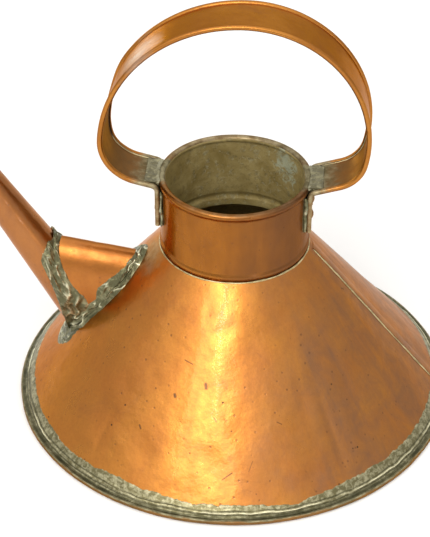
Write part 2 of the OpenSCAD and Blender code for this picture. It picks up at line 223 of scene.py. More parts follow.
def smooth(x, low, high):
    """0 up to low, 1 from high on, and an even rise between them."""
    t = np.clip((x - low) / (high - low), 0, 1)
    return t * t * (3 - 2 * t)


def arc(centre, radius, start, end, steps):
    """Points of an arc; angles in degrees from the first axis towards the second."""
    angles = np.radians(np.linspace(start, end, steps + 1))
    return np.stack([centre[0] + radius * np.cos(angles), centre[1] + radius * np.sin(angles)], -1)


def subdivide(points, step):
    """The outline with points added so that none are further apart than step."""
    points = np.asarray(points, float)
    made = []
    for a, b in zip(points, np.roll(points, -1, axis=0)):
        n = max(1, math.ceil(np.linalg.norm(b - a) / step))
        made.extend(a + (b - a) * i / n for i in range(n))
    return np.array(made)


def resample(points, step):
    """The open line with its points spaced about that step apart."""
    points = np.asarray(points, float)
    run = np.concatenate([[0], np.cumsum(np.linalg.norm(np.diff(points, axis=0), axis=1))])
    at = np.linspace(0, run[-1], max(2, round(run[-1] / step)) + 1)
    return np.stack([np.interp(at, run, points[:, k]) for k in range(points.shape[1])], -1)


# ---------- meshes ----------

CREASE = math.radians(42)       # faces that meet more sharply than this keep a hard edge


def link(name, data):
    """A new object of that data in the scene."""
    made = bpy.data.objects.new(name, data)
    bpy.context.scene.collection.objects.link(made)
    return made


def join_and_turn_out(mesh):
    """Joins doubled points and turns every face outwards."""
    work = bmesh.new()
    work.from_mesh(mesh)
    bmesh.ops.remove_doubles(work, verts=work.verts, dist=1e-7)
    bmesh.ops.recalc_face_normals(work, faces=work.faces)
    work.to_mesh(mesh)
    work.free()


def piece(name, points, faces, body, materials, replaces=(), face_materials=None, tone=None):
    """A closed mesh of points in millimetres that rides on a body.

    face_materials picks one of the materials for each face. tone is each point's painted light on solder: 1
    for a highlight painted on a crest, -1 for shade painted in a groove; on the base's lip it darkens the
    tin.
    """
    mesh = bpy.data.meshes.new(name)
    mesh.from_pydata((np.asarray(points).reshape(-1, 3) * MM).tolist(), [], faces)
    for m in materials:
        mesh.materials.append(m)
    if face_materials is not None:
        mesh.polygons.foreach_set("material_index", np.asarray(face_materials, np.int32))
    if tone is not None:
        shade = mesh.attributes.new("tone", "FLOAT", "POINT")
        shade.data.foreach_set("value", np.asarray(tone, np.float32).ravel())
    join_and_turn_out(mesh)
    mesh.polygons.foreach_set("use_smooth", [True] * len(mesh.polygons))
    mesh.set_sharp_from_angle(angle=CREASE)
    made = link(name, mesh)
    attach(made, body)
    if replaces:
        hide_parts(*replaces)
    return made


def grid_faces(rows, columns, wrap_rows=True, start=0):
    """Faces of a grid of points whose columns close round, and whose rows do too unless told otherwise."""
    i = np.arange(rows if wrap_rows else rows - 1)[:, None]
    j = np.arange(columns)[None, :]
    a, b = i * columns, (i + 1) % rows * columns
    k = (j + 1) % columns
    quads = np.stack(np.broadcast_arrays(a + j, b + j, b + k, a + k), -1).reshape(-1, 4) + start
    return quads.tolist()


def capped_faces(rows, columns):
    """Faces of a grid whose columns close round, with a cap on its first and its last row."""
    caps = [list(range(columns)), list(range((rows - 1) * columns, rows * columns))]
    return grid_faces(rows, columns, wrap_rows=False) + caps


def turns(count):
    """That many angles round a full turn, in radians."""
    return np.linspace(0, 2 * math.pi, count, endpoint=False)


def circle(turn):
    """Points at those angles on the level circle of radius 1."""
    return xyz(np.cos(turn), np.sin(turn), 0.0)


def ring_grid(profile, columns):
    """Points of an outline of [radius, height] turned round the Z axis."""
    turn = turns(columns)
    r, z = profile[:, 0][:, None], profile[:, 1][:, None]
    return xyz(r * np.cos(turn), r * np.sin(turn), z)


def push_out(points, push):
    """Moves points away from the Z axis, in place."""
    radius = np.hypot(points[..., 0], points[..., 1])
    points[..., :2] *= (1 + push / np.maximum(radius, 1))[..., None]


def on_spout(points):
    """Points whose Z runs along the spout's axis from its foot, taken to the part's frame."""
    return SPOUT_FOOT + points[..., :1] * OVER + points[..., 1:2] * SIDE + points[..., 2:] * AXIS


def shell(outer, inner):
    """Rows of an outer surface followed by the inner one's rows backwards: a closed section."""
    return np.concatenate([outer, inner[::-1]])


def tube_piece(name, outer, inner, material, node):
    """A tube of sheet on the can, with patina inside."""
    points = shell(outer, inner)
    rows, columns = points.shape[:2]
    row = np.arange(rows)
    is_inner = ((row >= len(outer)) & (row < rows - 1)).astype(int)
    piece(name, points, grid_faces(rows, columns), "can", [material, INSIDE], [node],
          np.repeat(is_inner, columns))


def solder_band(name, top, below, tone, material, node):
    """A band of solder on the can between its top surface and the one it lies on."""
    points = shell(top, below)
    faces = grid_faces(*points.shape[:2])
    piece(name, points, faces, "can", [material], [node], tone=shell(tone, 0 * tone))


# ---------- shader helpers ----------

class Shader:
    """A material's nodes. A value is a number, a colour or another node's output."""

    def __init__(self, name):
        self.material = bpy.data.materials.new(name)
        self.material.use_nodes = True
        self.tree = self.material.node_tree
        self.bsdf = self.tree.nodes["Principled BSDF"]
        self.place = self.add("ShaderNodeTexCoord").outputs["Object"]

    def put(self, socket, value):
        if isinstance(value, bpy.types.NodeSocket):
            self.tree.links.new(value, socket)
        elif hasattr(value, "__len__") and len(value) == 3 and socket.type == "RGBA":
            socket.default_value = (*value, 1)
        else:
            socket.default_value = value

    def add(self, kind, settings=None, **inputs):
        made = self.tree.nodes.new(kind)
        for key, value in (settings or {}).items():
            setattr(made, key, value)
        for key, value in inputs.items():
            self.put(made.inputs[key.replace("_", " ")], value)
        return made

    def math(self, operation, a, b=0.0, c=0.0):
        made = self.add("ShaderNodeMath", {"operation": operation})
        for socket, value in zip(made.inputs, (a, b, c)):
            self.put(socket, value)
        return made.outputs[0]

    def times(self, a, b):
        return self.math("MULTIPLY", a, b)

    def plus(self, a, b):
        return self.math("ADD", a, b)

    def larger(self, a, b):
        return self.math("MAXIMUM", a, b)

    def size_of(self, value):
        return self.math("ABSOLUTE", value)

    def vector(self, operation, a, b=None):
        made = self.add("ShaderNodeVectorMath", {"operation": operation})
        self.put(made.inputs[0], a)
        if b is not None:
            self.put(made.inputs["Scale"] if operation == "SCALE" else made.inputs[1], b)
        return made.outputs["Value"] if operation in ("DOT_PRODUCT", "LENGTH") else made.outputs["Vector"]

    def stretched(self, scale):
        return self.vector("MULTIPLY", self.place, scale)

    def down_slope(self):
        """A place whose noise runs down the cone in long streaks."""
        level = self.vector("NORMALIZE", self.stretched((1, 1, 0)))
        return self.vector("ADD", self.vector("SCALE", level, 110 * MM), self.stretched((0, 0, 0.22)))

    def noise(self, size, detail=3.0, rough=0.55, warp=0.0, place=None):
        """Noise from 0 to 1 with features of size millimetres."""
        return self.add(
            "ShaderNodeTexNoise", Vector=place or self.place, Scale=1 / (size * MM), Detail=detail,
            Roughness=rough, Distortion=warp,
        ).outputs[0]

    def dots(self, size, radius):
        """1 inside spots scattered about size millimetres apart, 0 outside."""
        cells = self.add("ShaderNodeTexVoronoi", Vector=self.place, Scale=1 / (size * MM)).outputs[0]
        return self.span(cells, radius, radius * 0.55)

    def span(self, value, low, high):
        """value taken from low..high to 0..1, and held there."""
        made = self.add("ShaderNodeMapRange", {"clamp": True})
        for socket, number in zip(made.inputs, (value, low, high, 0.0, 1.0)):
            self.put(socket, number)
        return made.outputs[0]

    def uneven_span(self, value, noise, shift, low, high):
        """The same, where noise first moves value by up to shift either way."""
        return self.span(self.plus(value, self.range(noise, -shift, shift)), low, high)

    def range(self, value, low, high):
        """value taken from 0..1 to low..high."""
        return self.math("MULTIPLY_ADD", value, high - low, low)

    def mix(self, share, a, b):
        made = self.add("ShaderNodeMix", {"data_type": "RGBA"})
        for socket, value in ((made.inputs[0], share), (made.inputs[6], a), (made.inputs[7], b)):
            self.put(socket, value)
        return made.outputs[2]

    def coat(self, colour, share, amount, paint):
        """The colour with paint laid over it, as strong as share times amount."""
        return self.mix(self.times(share, amount), colour, paint)

    def along(self, axis):
        """The object coordinate along axis 0, 1 or 2, in millimetres."""
        parts = self.add("ShaderNodeSeparateXYZ", Vector=self.place).outputs
        return self.times(parts[axis], 1 / MM)

    def near(self, value, centre, reach, soft):
        """1 where value is within reach of centre, falling to 0 over soft."""
        off = self.size_of(self.math("SUBTRACT", value, centre))
        return self.span(off, reach + soft, reach)

    def away_from(self, point, scale=(1, 1, 1)):
        """How far places are from a point, in metres, with each axis scaled."""
        off = self.vector("SUBTRACT", self.place, point)
        return self.vector("LENGTH", self.vector("MULTIPLY", off, scale))

    def mark(self, start, end, width):
        """1 on a short line between two points, in millimetres, and 0 off it."""
        a, along = np.array(start) * MM, (np.array(end) - start) * MM
        off = self.vector("SUBTRACT", self.place, tuple(a))
        share = self.math("DIVIDE", self.vector("DOT_PRODUCT", off, tuple(along)), float(along @ along))
        share = self.span(share, 0.0, 1.0)
        nearest = self.vector("SCALE", tuple(along), share)
        gap = self.vector("LENGTH", self.vector("SUBTRACT", off, nearest))
        return self.span(gap, width * MM, width * 0.4 * MM)

    def bump(self, height, millimetres, below=None):
        made = self.add("ShaderNodeBump", Strength=1.0, Distance=millimetres * MM, Height=height)
        if below is not None:
            self.put(made.inputs["Normal"], below)
        return made.outputs[0]

    def finish(self, colour, roughness, normal, metallic=1.0):
        for name, value in (
            ("Base Color", colour), ("Roughness", roughness), ("Metallic", metallic), ("Normal", normal),
        ):
            self.put(self.bsdf.inputs[name], value)
        return self.material


# ---------- materials ----------

COPPER_TINT = (0.80, 0.52, 0.33)        # keeps grazing edges coppery
COAT_ROUGHNESS = 0.09
GRAIN_BROWN = (0.28, 0.098, 0.026)
PATCH_BROWN = (0.24, 0.098, 0.036)
SPECK_BLACK = (0.045, 0.025, 0.015)
PIT_BROWN = (0.13, 0.06, 0.03)
MARK_BROWN = (0.07, 0.035, 0.02)
TIN_DARK = (0.150, 0.132, 0.070)
TIN_PALE = (0.40, 0.365, 0.225)


def copper(name, bright, dull, spots=0.5, wear=0.5, rough=0.3, polish=0.0, haze_and_painted_light=None, dulled_and_painted_colour=None, tin_stain_and_highlight=None,
           marks=()):
    """Old copper sheet: two copper tones in clouds, drawn-out stains, pits, specks and fine scratches.

    spots, wear and polish say how strong specks, brown patches and a clear gloss are. haze_and_painted_light
    is a function of the shader that says where the sheet is dulled, with painted shade or a painted
    reflection in places, to the colour dulled_and_painted_colour. tin_stain_and_highlight says where it is
    washed over with solder, stained, or given a painted highlight.
    marks are dark scratches: two points and a width each.
    """
    s = Shader(name)
    s.put(s.bsdf.inputs["Specular Tint"], COPPER_TINT)
    s.put(s.bsdf.inputs["Coat Weight"], polish)
    s.put(s.bsdf.inputs["Coat Roughness"], COAT_ROUGHNESS)
    clouds = s.span(s.noise(48, 4, 0.6, 0.4), 0.36, 0.66)
    stains = s.noise(14, 4, 0.65, 0.3, s.stretched((1, 1, 0.18)))
    grain = s.noise(2.2, 3, 0.7)
    share = s.plus(s.times(clouds, 0.55), s.times(s.span(stains, 0.35, 0.7), 0.45))
    colour = s.mix(share, bright, dull)
    colour = s.coat(colour, s.span(grain, 0.45, 0.75), 0.22, GRAIN_BROWN)
    patches = s.times(s.span(s.noise(26, 5, 0.7, 0.8), 0.56, 0.72), wear * 0.6)
    colour = s.mix(patches, colour, PATCH_BROWN)
    roughness = s.plus(s.range(stains, rough - 0.14, rough + 0.24), s.times(patches, 0.3))
    # real dulling on the body; painted shade on the neck and a painted reflection on the handle's crown
    if haze_and_painted_light:
        share = haze_and_painted_light(s)
        colour = s.coat(colour, share, 0.75, dulled_and_painted_colour)
        roughness = s.plus(roughness, s.times(share, 0.12))
    specks = s.times(s.times(s.dots(11, 0.075), s.span(s.noise(30), 0.44, 0.56)), spots)
    colour = s.mix(specks, colour, SPECK_BLACK)
    pits = s.times(s.dots(6.5, 0.15), s.span(s.noise(36), 0.40, 0.56))
    colour = s.coat(colour, pits, 0.55 * spots, PIT_BROWN)
    for start, end, width in marks:
        colour = s.coat(colour, s.mark(start, end, width), 0.8, MARK_BROWN)
    # solder wash or a stain, and on the neck's rolled crest a painted highlight
    if tin_stain_and_highlight:
        share = tin_stain_and_highlight(s)
        tone = s.mix(s.span(s.noise(5.5, 4, 0.65), 0.36, 0.66), TIN_DARK, TIN_PALE)
        colour = s.mix(share, colour, tone)
        roughness = s.plus(roughness, s.times(share, 0.15))
    scratches = s.span(s.noise(1.1, 2, 0.5, 0.0, s.stretched((1.0, 0.12, 0.5))), 0.62, 0.78)
    normal = s.bump(s.noise(15, 4, 0.55), 0.47)
    holes = s.plus(s.times(specks, 1.6), s.times(pits, 2.0))
    normal = s.bump(s.math("SUBTRACT", grain, holes), 0.035, normal)
    normal = s.bump(scratches, 0.012, normal)
    s.put(s.bsdf.inputs["Coat Normal"], normal)
    return s.finish(colour, roughness, normal)


OLIVE_DARK, OLIVE_PALE = (0.30, 0.222, 0.072), (0.49, 0.39, 0.165)
SPOT_GREEN = (0.62, 0.62, 0.42)
SPLASH_GREEN = (0.56, 0.66, 0.52)
SPLASH_AT = (0.032, 0.036, 0.160)
INSIDE_BLACK = (0.10, 0.078, 0.035)


def patina(name):
    """The dull olive brown inside of the can, with pale green spots and a splash at the neck's back."""
    s = Shader(name)
    clouds = s.span(s.noise(16, 5, 0.65, 0.5), 0.35, 0.68)
    colour = s.mix(clouds, OLIVE_DARK, OLIVE_PALE)
    pale = s.times(s.span(s.noise(4, 5, 0.7, 0.6), 0.54, 0.70), s.span(s.noise(34), 0.42, 0.56))
    colour = s.coat(colour, pale, 0.55, SPOT_GREEN)
    off = s.away_from(SPLASH_AT, (1.0, 1.0, 0.75))
    splash = s.uneven_span(off, s.noise(5.5, 5, 0.75, 1.0), 0.030, 0.010, 0.003)
    colour = s.coat(colour, splash, 0.6, SPLASH_GREEN)
    colour = s.coat(colour, s.span(s.noise(4, 5, 0.75), 0.50, 0.70), 0.6, INSIDE_BLACK)
    normal = s.bump(s.noise(3, 5, 0.7), 0.10)
    return s.finish(colour, s.range(clouds, 0.46, 0.66), normal, 0.25)


SOLDER_DIRT = (0.05, 0.05, 0.03)
# Dark of the shade painted in solder's grooves, and of the darker tin on the base's lip
GROOVE_SHADE_AND_DARK_TIN = (0.05, 0.048, 0.022)


def solder(name, dark, pale, crest, share=0.5, rough=0.34, size=6.5, grain=0.18):
    """Old soft solder: dark grey green, paler in clouds of that size.

    The pieces' tone attribute is 1 where a highlight is painted on crests in the colour crest, and -1 where
    shade is painted in grooves; on the base's lip it darkens the tin.
    """
    s = Shader(name)
    clouds = s.noise(size, 5, 0.65, 0.5)
    colour = s.mix(s.span(clouds, 0.62 - share * 0.3, 0.78 - share * 0.2), dark, pale)
    colour = s.coat(colour, s.span(s.noise(size * 0.5, 4, 0.65, 0.5), 0.60, 0.74), 0.6, SOLDER_DIRT)
    tone = s.add("ShaderNodeAttribute", {"attribute_name": "tone"}).outputs["Fac"]
    # below 0: painted shade in grooves, and darker tin on the base's lip
    colour = s.mix(s.span(tone, 0.0, -1.0), colour, GROOVE_SHADE_AND_DARK_TIN)
    # above 0: pale highlights painted on crests, standing in for glints
    crests = s.times(s.span(tone, 0.0, 1.0), s.range(s.noise(4.0, 4, 0.6), 0.2, 1.5))
    colour = s.mix(s.math("MINIMUM", crests, 1.0), colour, crest)
    normal = s.bump(s.noise(2.6, 3, 0.5, 0.6), grain)
    return s.finish(colour, s.range(clouds, rough - 0.08, rough + 0.14), normal, 0.85)


def iron(name):
    """Bare iron wire, brown with rust in places."""
    s = Shader(name)
    rust = s.span(s.noise(3, 4, 0.7), 0.45, 0.65)
    colour = s.mix(rust, (0.16, 0.14, 0.12), (0.13, 0.05, 0.02))
    return s.finish(colour, s.range(rust, 0.42, 0.75), s.bump(s.noise(0.9, 3), 0.05), s.range(rust, 0.9, 0.2))


def floor_material():
    s = Shader("pale_floor")
    tone = s.mix(s.noise(400, 2), (0.86, 0.86, 0.855), (0.88, 0.88, 0.875))
    return s.finish(tone, s.range(s.noise(200, 2), 0.80, 0.86), s.bump(s.noise(6, 2), 0.01), 0.0)


def right_haze(s):
    """The body is duller and mottled on the seam's side, in streaks down its slope."""
    side = s.span(s.plus(s.along(0), s.range(s.noise(38, 3), -60, 50)), 8, 62)
    streaks = s.span(s.noise(13, 4, 0.6, 0.6, s.down_slope()), 0.34, 0.66)
    mottle = s.span(s.noise(17, 4, 0.65, 0.8), 0.36, 0.64)
    return s.times(side, s.plus(s.range(streaks, 0.15, 0.70), s.range(mottle, 0.10, 0.55)))


def neck_painted_shade(s):
    """Painted shade: the neck is darker on the seam's side, and a little rougher there."""
    return s.uneven_span(s.along(0), s.noise(30, 3, 0.6, 0.3, s.stretched((1, 1, 0.4))), 30, -8, 34)


def neck_tin_and_crest_highlight(s):
    """Solder washed round the rim and beside the handle's feet, and thinly over the rim's back. A pale line
    along the roll's crest is a painted highlight.
    """
    ragged = s.range(s.noise(6, 4, 0.7), -7, 7)
    y, z = s.along(1), s.along(2)
    high = s.span(z, 164, 168)
    rim = s.times(s.near(s.plus(y, ragged), 0, 13, 5), high)
    beside = s.near(s.plus(s.size_of(y), s.times(ragged, 0.25)), 16.5, 1.2, 1.5)
    beside = s.times(beside, s.near(z, 155, 13, 3))
    sides = s.times(s.larger(rim, beside), s.span(s.size_of(s.along(0)), 28, 36))
    back = s.times(s.span(s.plus(y, ragged), 2, 22), high)
    # a highlight painted along the roll's crest
    crest = s.times(s.span(z, ROLL_Z + 0.9, ROLL_Z + 2.2), s.range(s.noise(9, 3), -0.1, 1.1))
    return s.larger(s.larger(sides, s.times(back, 0.75)), s.times(crest, 0.5))


def strap_tin(s):
    """Solder washed from the rim out along the handle, and down its feet."""
    ragged = s.range(s.noise(7, 4, 0.7), -13, 13)
    z = s.along(2)
    patch = s.times(s.span(s.plus(s.size_of(s.along(0)), ragged), 68, 58), s.near(z, 175, 11, 4))
    foot = s.span(s.plus(z, s.times(ragged, 0.4)), 168, 162)
    return s.larger(s.times(patch, 0.85), s.times(foot, 0.72))


# Middles, in metres, of the reflection painted on the handle's crown and of the stain on the body
CROWN_PAINTED_REFLECTION_AT = (-0.0615, -0.004, 0.2595)
JOINT_STAIN_AT = (-0.0575, -0.009, 0.111)


def crown_painted_reflection(s):
    """A painted reflection: a pale patch on the handle's crown, on the spout's side."""
    off = s.away_from(CROWN_PAINTED_REFLECTION_AT, (0.9, 1.1, 0.9))
    patch = s.uneven_span(off, s.noise(6, 4, 0.6, 0.4, s.stretched((0.4, 1, 0.4))), 0.009, 0.021, 0.004)
    return s.times(patch, s.range(s.noise(3, 3, 0.6, 0.2, s.stretched((0.25, 1, 0.25))), 0.3, 1.4))


def joint_stain(s):
    """A thin grey stain on the body between the boot's top end and the neck."""
    stain = s.uneven_span(s.away_from(JOINT_STAIN_AT), s.noise(7, 4, 0.65), 0.010, 0.020, 0.008)
    return s.times(stain, 0.55)


def lip_tin(s):
    """The lip's top is tinned; its rim is bare."""
    flat = s.uneven_span(s.along(2), s.noise(5), 0.9, 2.3, 2.9)
    return s.times(flat, s.span(s.noise(30, 2), 0.2, 0.4))


def on_cone(azimuth, z):
    a = math.radians(azimuth)
    return np.array([cone_r(z) * math.cos(a), cone_r(z) * math.sin(a), z])


# Dark scratches on the body: the azimuth in degrees from +X and the height of each end, and the width
SCRATCHES = (
    ((-108.2, 78.5), (-104.4, 77.3), 0.5), ((-89.2, 21.8), (-86.4, 25.4), 0.5),
    ((-97.4, 68.6), (-97.0, 66.6), 1.5), ((-108.8, 60.4), (-108.4, 59.4), 1.3),
    ((-81.5, 26.0), (-80.2, 31.0), 0.35), ((-93.0, 52.5), (-91.8, 50.2), 0.45),
    ((-118.0, 40.0), (-117.2, 38.6), 0.8), ((-71.0, 49.0), (-69.5, 47.5), 0.4),
)
COPPER_BODY = copper(
    "copper_body", (0.58, 0.228, 0.038), (0.46, 0.160, 0.030), 1.0, 0.45, 0.27, 0.27,
    haze_and_painted_light=right_haze, dulled_and_painted_colour=(0.26, 0.125, 0.060), tin_stain_and_highlight=joint_stain,
    marks=[(on_cone(*start), on_cone(*end), width) for start, end, width in SCRATCHES],
)
COPPER_BASE = copper("copper_base", (0.33, 0.165, 0.055), (0.15, 0.105, 0.045), 0.5, 0.9, 0.38, tin_stain_and_highlight=lip_tin)
COPPER_NECK = copper(
    "copper_neck", (0.375, 0.135, 0.018), (0.235, 0.082, 0.014), 0.5, 0.6, 0.24, 0.15,
    # the dark colour is shade painted on the neck's seam side; the roll's crest gets a painted highlight
    haze_and_painted_light=neck_painted_shade, dulled_and_painted_colour=(0.140, 0.060, 0.026), tin_stain_and_highlight=neck_tin_and_crest_highlight,
)
COPPER_HANDLE = copper(
    "copper_handle", (0.49, 0.202, 0.036), (0.36, 0.134, 0.027), 0.4, 0.7, 0.27, 0.1,
    # the pale colour is a reflection painted on the crown
    haze_and_painted_light=crown_painted_reflection, dulled_and_painted_colour=(0.60, 0.60, 0.56), tin_stain_and_highlight=strap_tin,
)
COPPER_UNDER = copper(
    "copper_handle_inside", (0.27, 0.135, 0.050), (0.155, 0.095, 0.046), 0.4, 0.9, 0.38, tin_stain_and_highlight=strap_tin,
)
COPPER_SPOUT = copper("copper_spout", (0.46, 0.172, 0.038), (0.33, 0.118, 0.030), 0.5, 0.6, 0.28, 0.6)
COPPER_BOOT = copper("copper_boot", (0.52, 0.190, 0.036), (0.40, 0.135, 0.028), 0.8, 0.4, 0.27, 0.2)
COPPER_ROSE = copper("copper_rose", (0.50, 0.200, 0.050), (0.36, 0.140, 0.042), 0.5, 0.6, 0.28)
COPPER_RIVET = copper("copper_rivet", (0.30, 0.17, 0.08), (0.20, 0.14, 0.075), 0.4, 0.8, 0.38)
BRASS = copper("brass_rose", (0.55, 0.37, 0.12), (0.38, 0.24, 0.08), 0.5, 0.5, 0.30)
INSIDE = patina("copper_inside")
SOLDER = solder(
    "old_solder", (0.125, 0.120, 0.062), (0.34, 0.32, 0.185), (0.80, 0.78, 0.55), 0.45, 0.35,
)
TIN = solder(
    "tinned_seam", (0.170, 0.150, 0.072), (0.46, 0.425, 0.265), (0.82, 0.77, 0.52), 0.62, 0.34, 3.2, 0.10,
)
WASH = solder(
    "handle_solder", (0.165, 0.148, 0.082), (0.37, 0.34, 0.205), (0.70, 0.67, 0.47), 0.6, 0.34, 5.0, 0.10,
)
SEAM = solder("pale_solder", (0.30, 0.24, 0.11), (0.58, 0.48, 0.25), (0.80, 0.69, 0.40), 0.9, 0.3, 5.0, 0.05)
IRON = iron("iron_wire")


# ---------- body ----------

# Dents in the body: azimuth in degrees from +X, height, half width round the body, half height, depth
DENTS = (
    (-129, 21, 2.6, 13, 0.55), (-113, 27, 7, 7, 0.5), (-135, 38, 9, 8, 0.6), (-150, 60, 13, 12, 0.5),
    (-101, 104, 3, 6, 0.3), (-97, 66, 5, 6, 0.4), (-92, 31, 8, 8, 0.5), (-84, 47, 9, 7, 0.45),
    (-75, 88, 8, 11, 0.4), (-63, 17, 7, 7, 0.8), (-53, 31, 3.2, 24, 0.9), (-47, 29, 5, 20, -0.7),
    (-60, 52, 4, 16, 0.5), (-40, 57, 5, 18, 0.6), (-25, 80, 10, 12, 0.5), (38, 50, 12, 14, 0.7),
    (70, 30, 9, 9, 0.6), (104, 62, 14, 12, 0.6), (140, 30, 9, 12, 0.6), (163, 88, 8, 9, 0.4),
)
TRUE_BELOW_Z = 8.0                      # the body is undented below this height
TRUE_ABOVE_Z = CONE_TOP_Z - 6           # and above this one


def dents(p):
    """How far the old sheet bulges out or in, dying away at the body's foot and at the neck."""
    z = p[..., 2]
    fade = smooth(z, TRUE_BELOW_Z, TRUE_BELOW_Z + 14) * (1 - smooth(z, TRUE_ABOVE_Z - 12, TRUE_ABOVE_Z))
    waves = 0.42 * noise(p, 62, 1) + 0.24 * noise(p, (18, 18, 60), 2) + 0.08 * noise(p, 12, 3)
    azimuth = np.degrees(np.arctan2(p[..., 1], p[..., 0]))
    for at, middle_z, half_width, half_height, depth in DENTS:
        turn = (azimuth - at + 180) % 360 - 180
        across = np.radians(turn) * cone_r(middle_z) / half_width
        waves = waves - depth * np.exp(-across ** 2 - ((z - middle_z) / half_height) ** 2)
    return fade * waves


def body():
    wall = cone_r(SHEET) - WALL_LEVEL
    under, lip_r = SHEET + 0.05, BASE_R - SHEET - 0.05
    profile = subdivide([
        [CONE_FOOT_R, LIP_TOP_Z], [CONE_TOP_R, CONE_TOP_Z], [NECK_R + 0.05, CONE_TOP_Z],
        [wall, under], [lip_r, under], [lip_r, 2 * SHEET + 0.05], [CONE_FOOT_R, 2 * SHEET + 0.05],
    ], 1.7)
    columns = 420
    points = ring_grid(profile, columns)
    push_out(points, dents(points))
    inner = profile[:, 0] < cone_r(profile[:, 1]) - WALL_LEVEL / 2
    faces = grid_faces(len(profile), columns)
    made = piece("body_skin", points, faces, "can", [COPPER_BODY, INSIDE], ["body_cone"],
                 np.repeat(inner.astype(int), columns))
    cut_outlet(made)


def cut_outlet(made):
    """Opens the body where the boot stands on it."""
    low_z, high_z, r = 62.0, 84.0, 11.0
    outer_x, inner_x = -BASE_R, -40.0
    outline = np.concatenate([arc((0, high_z), r, 0, 180, 20), arc((0, low_z), r, 180, 360, 20)])
    ends = [np.column_stack([np.full(len(outline), x), outline]) for x in (outer_x, inner_x)]
    mesh = bpy.data.meshes.new("outlet_cutter")
    mesh.from_pydata((np.concatenate(ends) * MM).tolist(), [], capped_faces(2, len(outline)))
    join_and_turn_out(mesh)
    cutter = link("outlet_cutter", mesh)
    change = made.modifiers.new("outlet", "BOOLEAN")
    change.object, change.operation, change.solver = cutter, "DIFFERENCE", "EXACT"
    apply_modifiers(made)
    bpy.data.objects.remove(cutter)


def apply_modifiers(made):
    """Keeps the mesh that the modifiers make, and its smooth shading."""
    graph = bpy.context.evaluated_depsgraph_get()
    result = bpy.data.meshes.new_from_object(made.evaluated_get(graph))
    made.modifiers.clear()
    made.data = result


def body_lap():
    """The body sheet's overlap opposite the spout: a step on one side, dying into the cone on the other."""
    low_z, high_z = 7.5, CONE_TOP_Z - 3
    edge_y, far_y, step = -2.0, 7.0, 0.9
    z = np.linspace(low_z, high_z, 90)
    y = np.array([edge_y, edge_y, edge_y + 0.15, *np.linspace(0, far_y, 9), far_y, 2.0])
    out = np.array([-0.3, step - 0.2, step, *(step * (1 - np.linspace(0, 1, 9) ** 1.6) - 0.03), -0.35, -0.35])
    zz, yy = z[:, None] + 0 * y, y[None, :] + 0.12 * noise(xyz(z, z, z), 9, 4)[:, None]
    points = xyz(np.sqrt(cone_r(zz) ** 2 - yy ** 2), yy, zz)
    points[..., 0] += dents(points) + out[None, :]
    piece("body_lap", points, capped_faces(*zz.shape), "can", [COPPER_BODY])


def bead(name, line, outward, radius, material, replaces, seed, flatten=0.8, body_name="can", closed=False,
         shade=0.5, rough=1.0):
    """A bead of solder along a line, with an uneven section."""
    if closed:
        ahead = np.roll(line, -1, axis=0) - np.roll(line, 1, axis=0)
    else:
        ahead = np.gradient(line, axis=0)
    across = unit(np.cross(unit(ahead), outward))
    size = radius * (1 + rough * (0.28 * noise(line, 4.5, seed) + 0.22 * noise(line, 13, seed + 1)))
    if not closed:
        along = np.linspace(0, 1, len(line))
        size = size * np.clip(np.minimum(along, 1 - along) * len(line) / 4, 0.15, 1)
    drift = 0.22 * rough * radius * noise(line, 8, seed + 2)
    turn = turns(12)
    points = (line[:, None] + across[:, None] * (size[:, None] * np.cos(turn) + drift[:, None])[..., None]
              + outward[:, None] * (size[:, None] * flatten * np.sin(turn))[..., None])
    points += 0.12 * rough * radius * noise(points, 1.8, seed + 3)[..., None] * outward[:, None]
    faces = (grid_faces if closed else capped_faces)(len(line), len(turn))
    # a highlight painted on the bead's crests; shade sets how much
    tone = np.clip(shade + 0.5 * noise(points, 5, seed + 3), 0, 1)
    piece(name, points, faces, body_name, [material], replaces, tone=tone)


def body_seam():
    z = np.linspace(8, CONE_TOP_Z - 3.5, 220)
    y = -2.65
    line = xyz(np.sqrt(cone_r(z) ** 2 - y ** 2), y, z)
    line[:, 0] += dents(line) + 0.12
    outward = np.tile([CONE_NORMAL_R, 0, CONE_NORMAL_Z], (len(z), 1))
    bead("body_seam_line", line, outward, 0.62, SEAM, ["body_seam_solder"], 11, shade=0.15)


# ---------- base ----------

def base():
    lip = 0.7
    middle_r, step_r = 120.0, 128.0         # the floor is raised a little inside these radii
    hook_r, hook_z = BASE_R - SHEET, 2 * SHEET + 0.1
    floor = [[hook_r - 0.1, SHEET], [step_r, SHEET + 0.05], [middle_r, SHEET + 0.3], [0.0, SHEET + 0.35]]
    profile = np.concatenate([
        resample([[0.0, 0.35], [middle_r, 0.30], [step_r, 0.05], [BASE_R - lip, 0.0]], 4.0),
        arc((BASE_R - lip, lip), lip, -90, 0, 4)[1:],
        arc((BASE_R - lip, LIP_TOP_Z - lip), lip, 0, 90, 4),
        [[CONE_FOOT_R + 0.35, LIP_TOP_Z - 0.02], [CONE_FOOT_R + 0.3, hook_z]],
        [[hook_r, hook_z], [hook_r, SHEET]],
        resample(floor, 4.0),
    ])
    columns = 480
    points = ring_grid(profile, columns)
    at_lip = smooth(np.hypot(points[..., 0], points[..., 1]), BASE_R - 6, BASE_R - 2)
    push_out(points, -at_lip * (0.22 + 0.22 * noise(points, 34, 6) + 0.05 * noise(points, 7, 7)))
    points[..., 2] -= at_lip * smooth(points[..., 2], 2.4, 3) * 0.15 * (1 + noise(points, 19, 8))
    faces = grid_faces(len(profile), columns, wrap_rows=False)
    piece("base_skin", points, faces, "can", [COPPER_BASE], ["base_disc"])


# Upper edge of the tinned band on the body: azimuth in degrees from +X, height above the floor
TIN_EDGE = (
    (-180, 11.5), (-160, 11), (-135, 10), (-118, 11.5), (-96, 9.2), (-84, 10.6), (-76, 8.6), (-69, 7.2),
    (-64, 9.3), (-46, 11.4), (-12, 12), (30, 10), (90, 12), (140, 9.5), (180, 11.5),
)


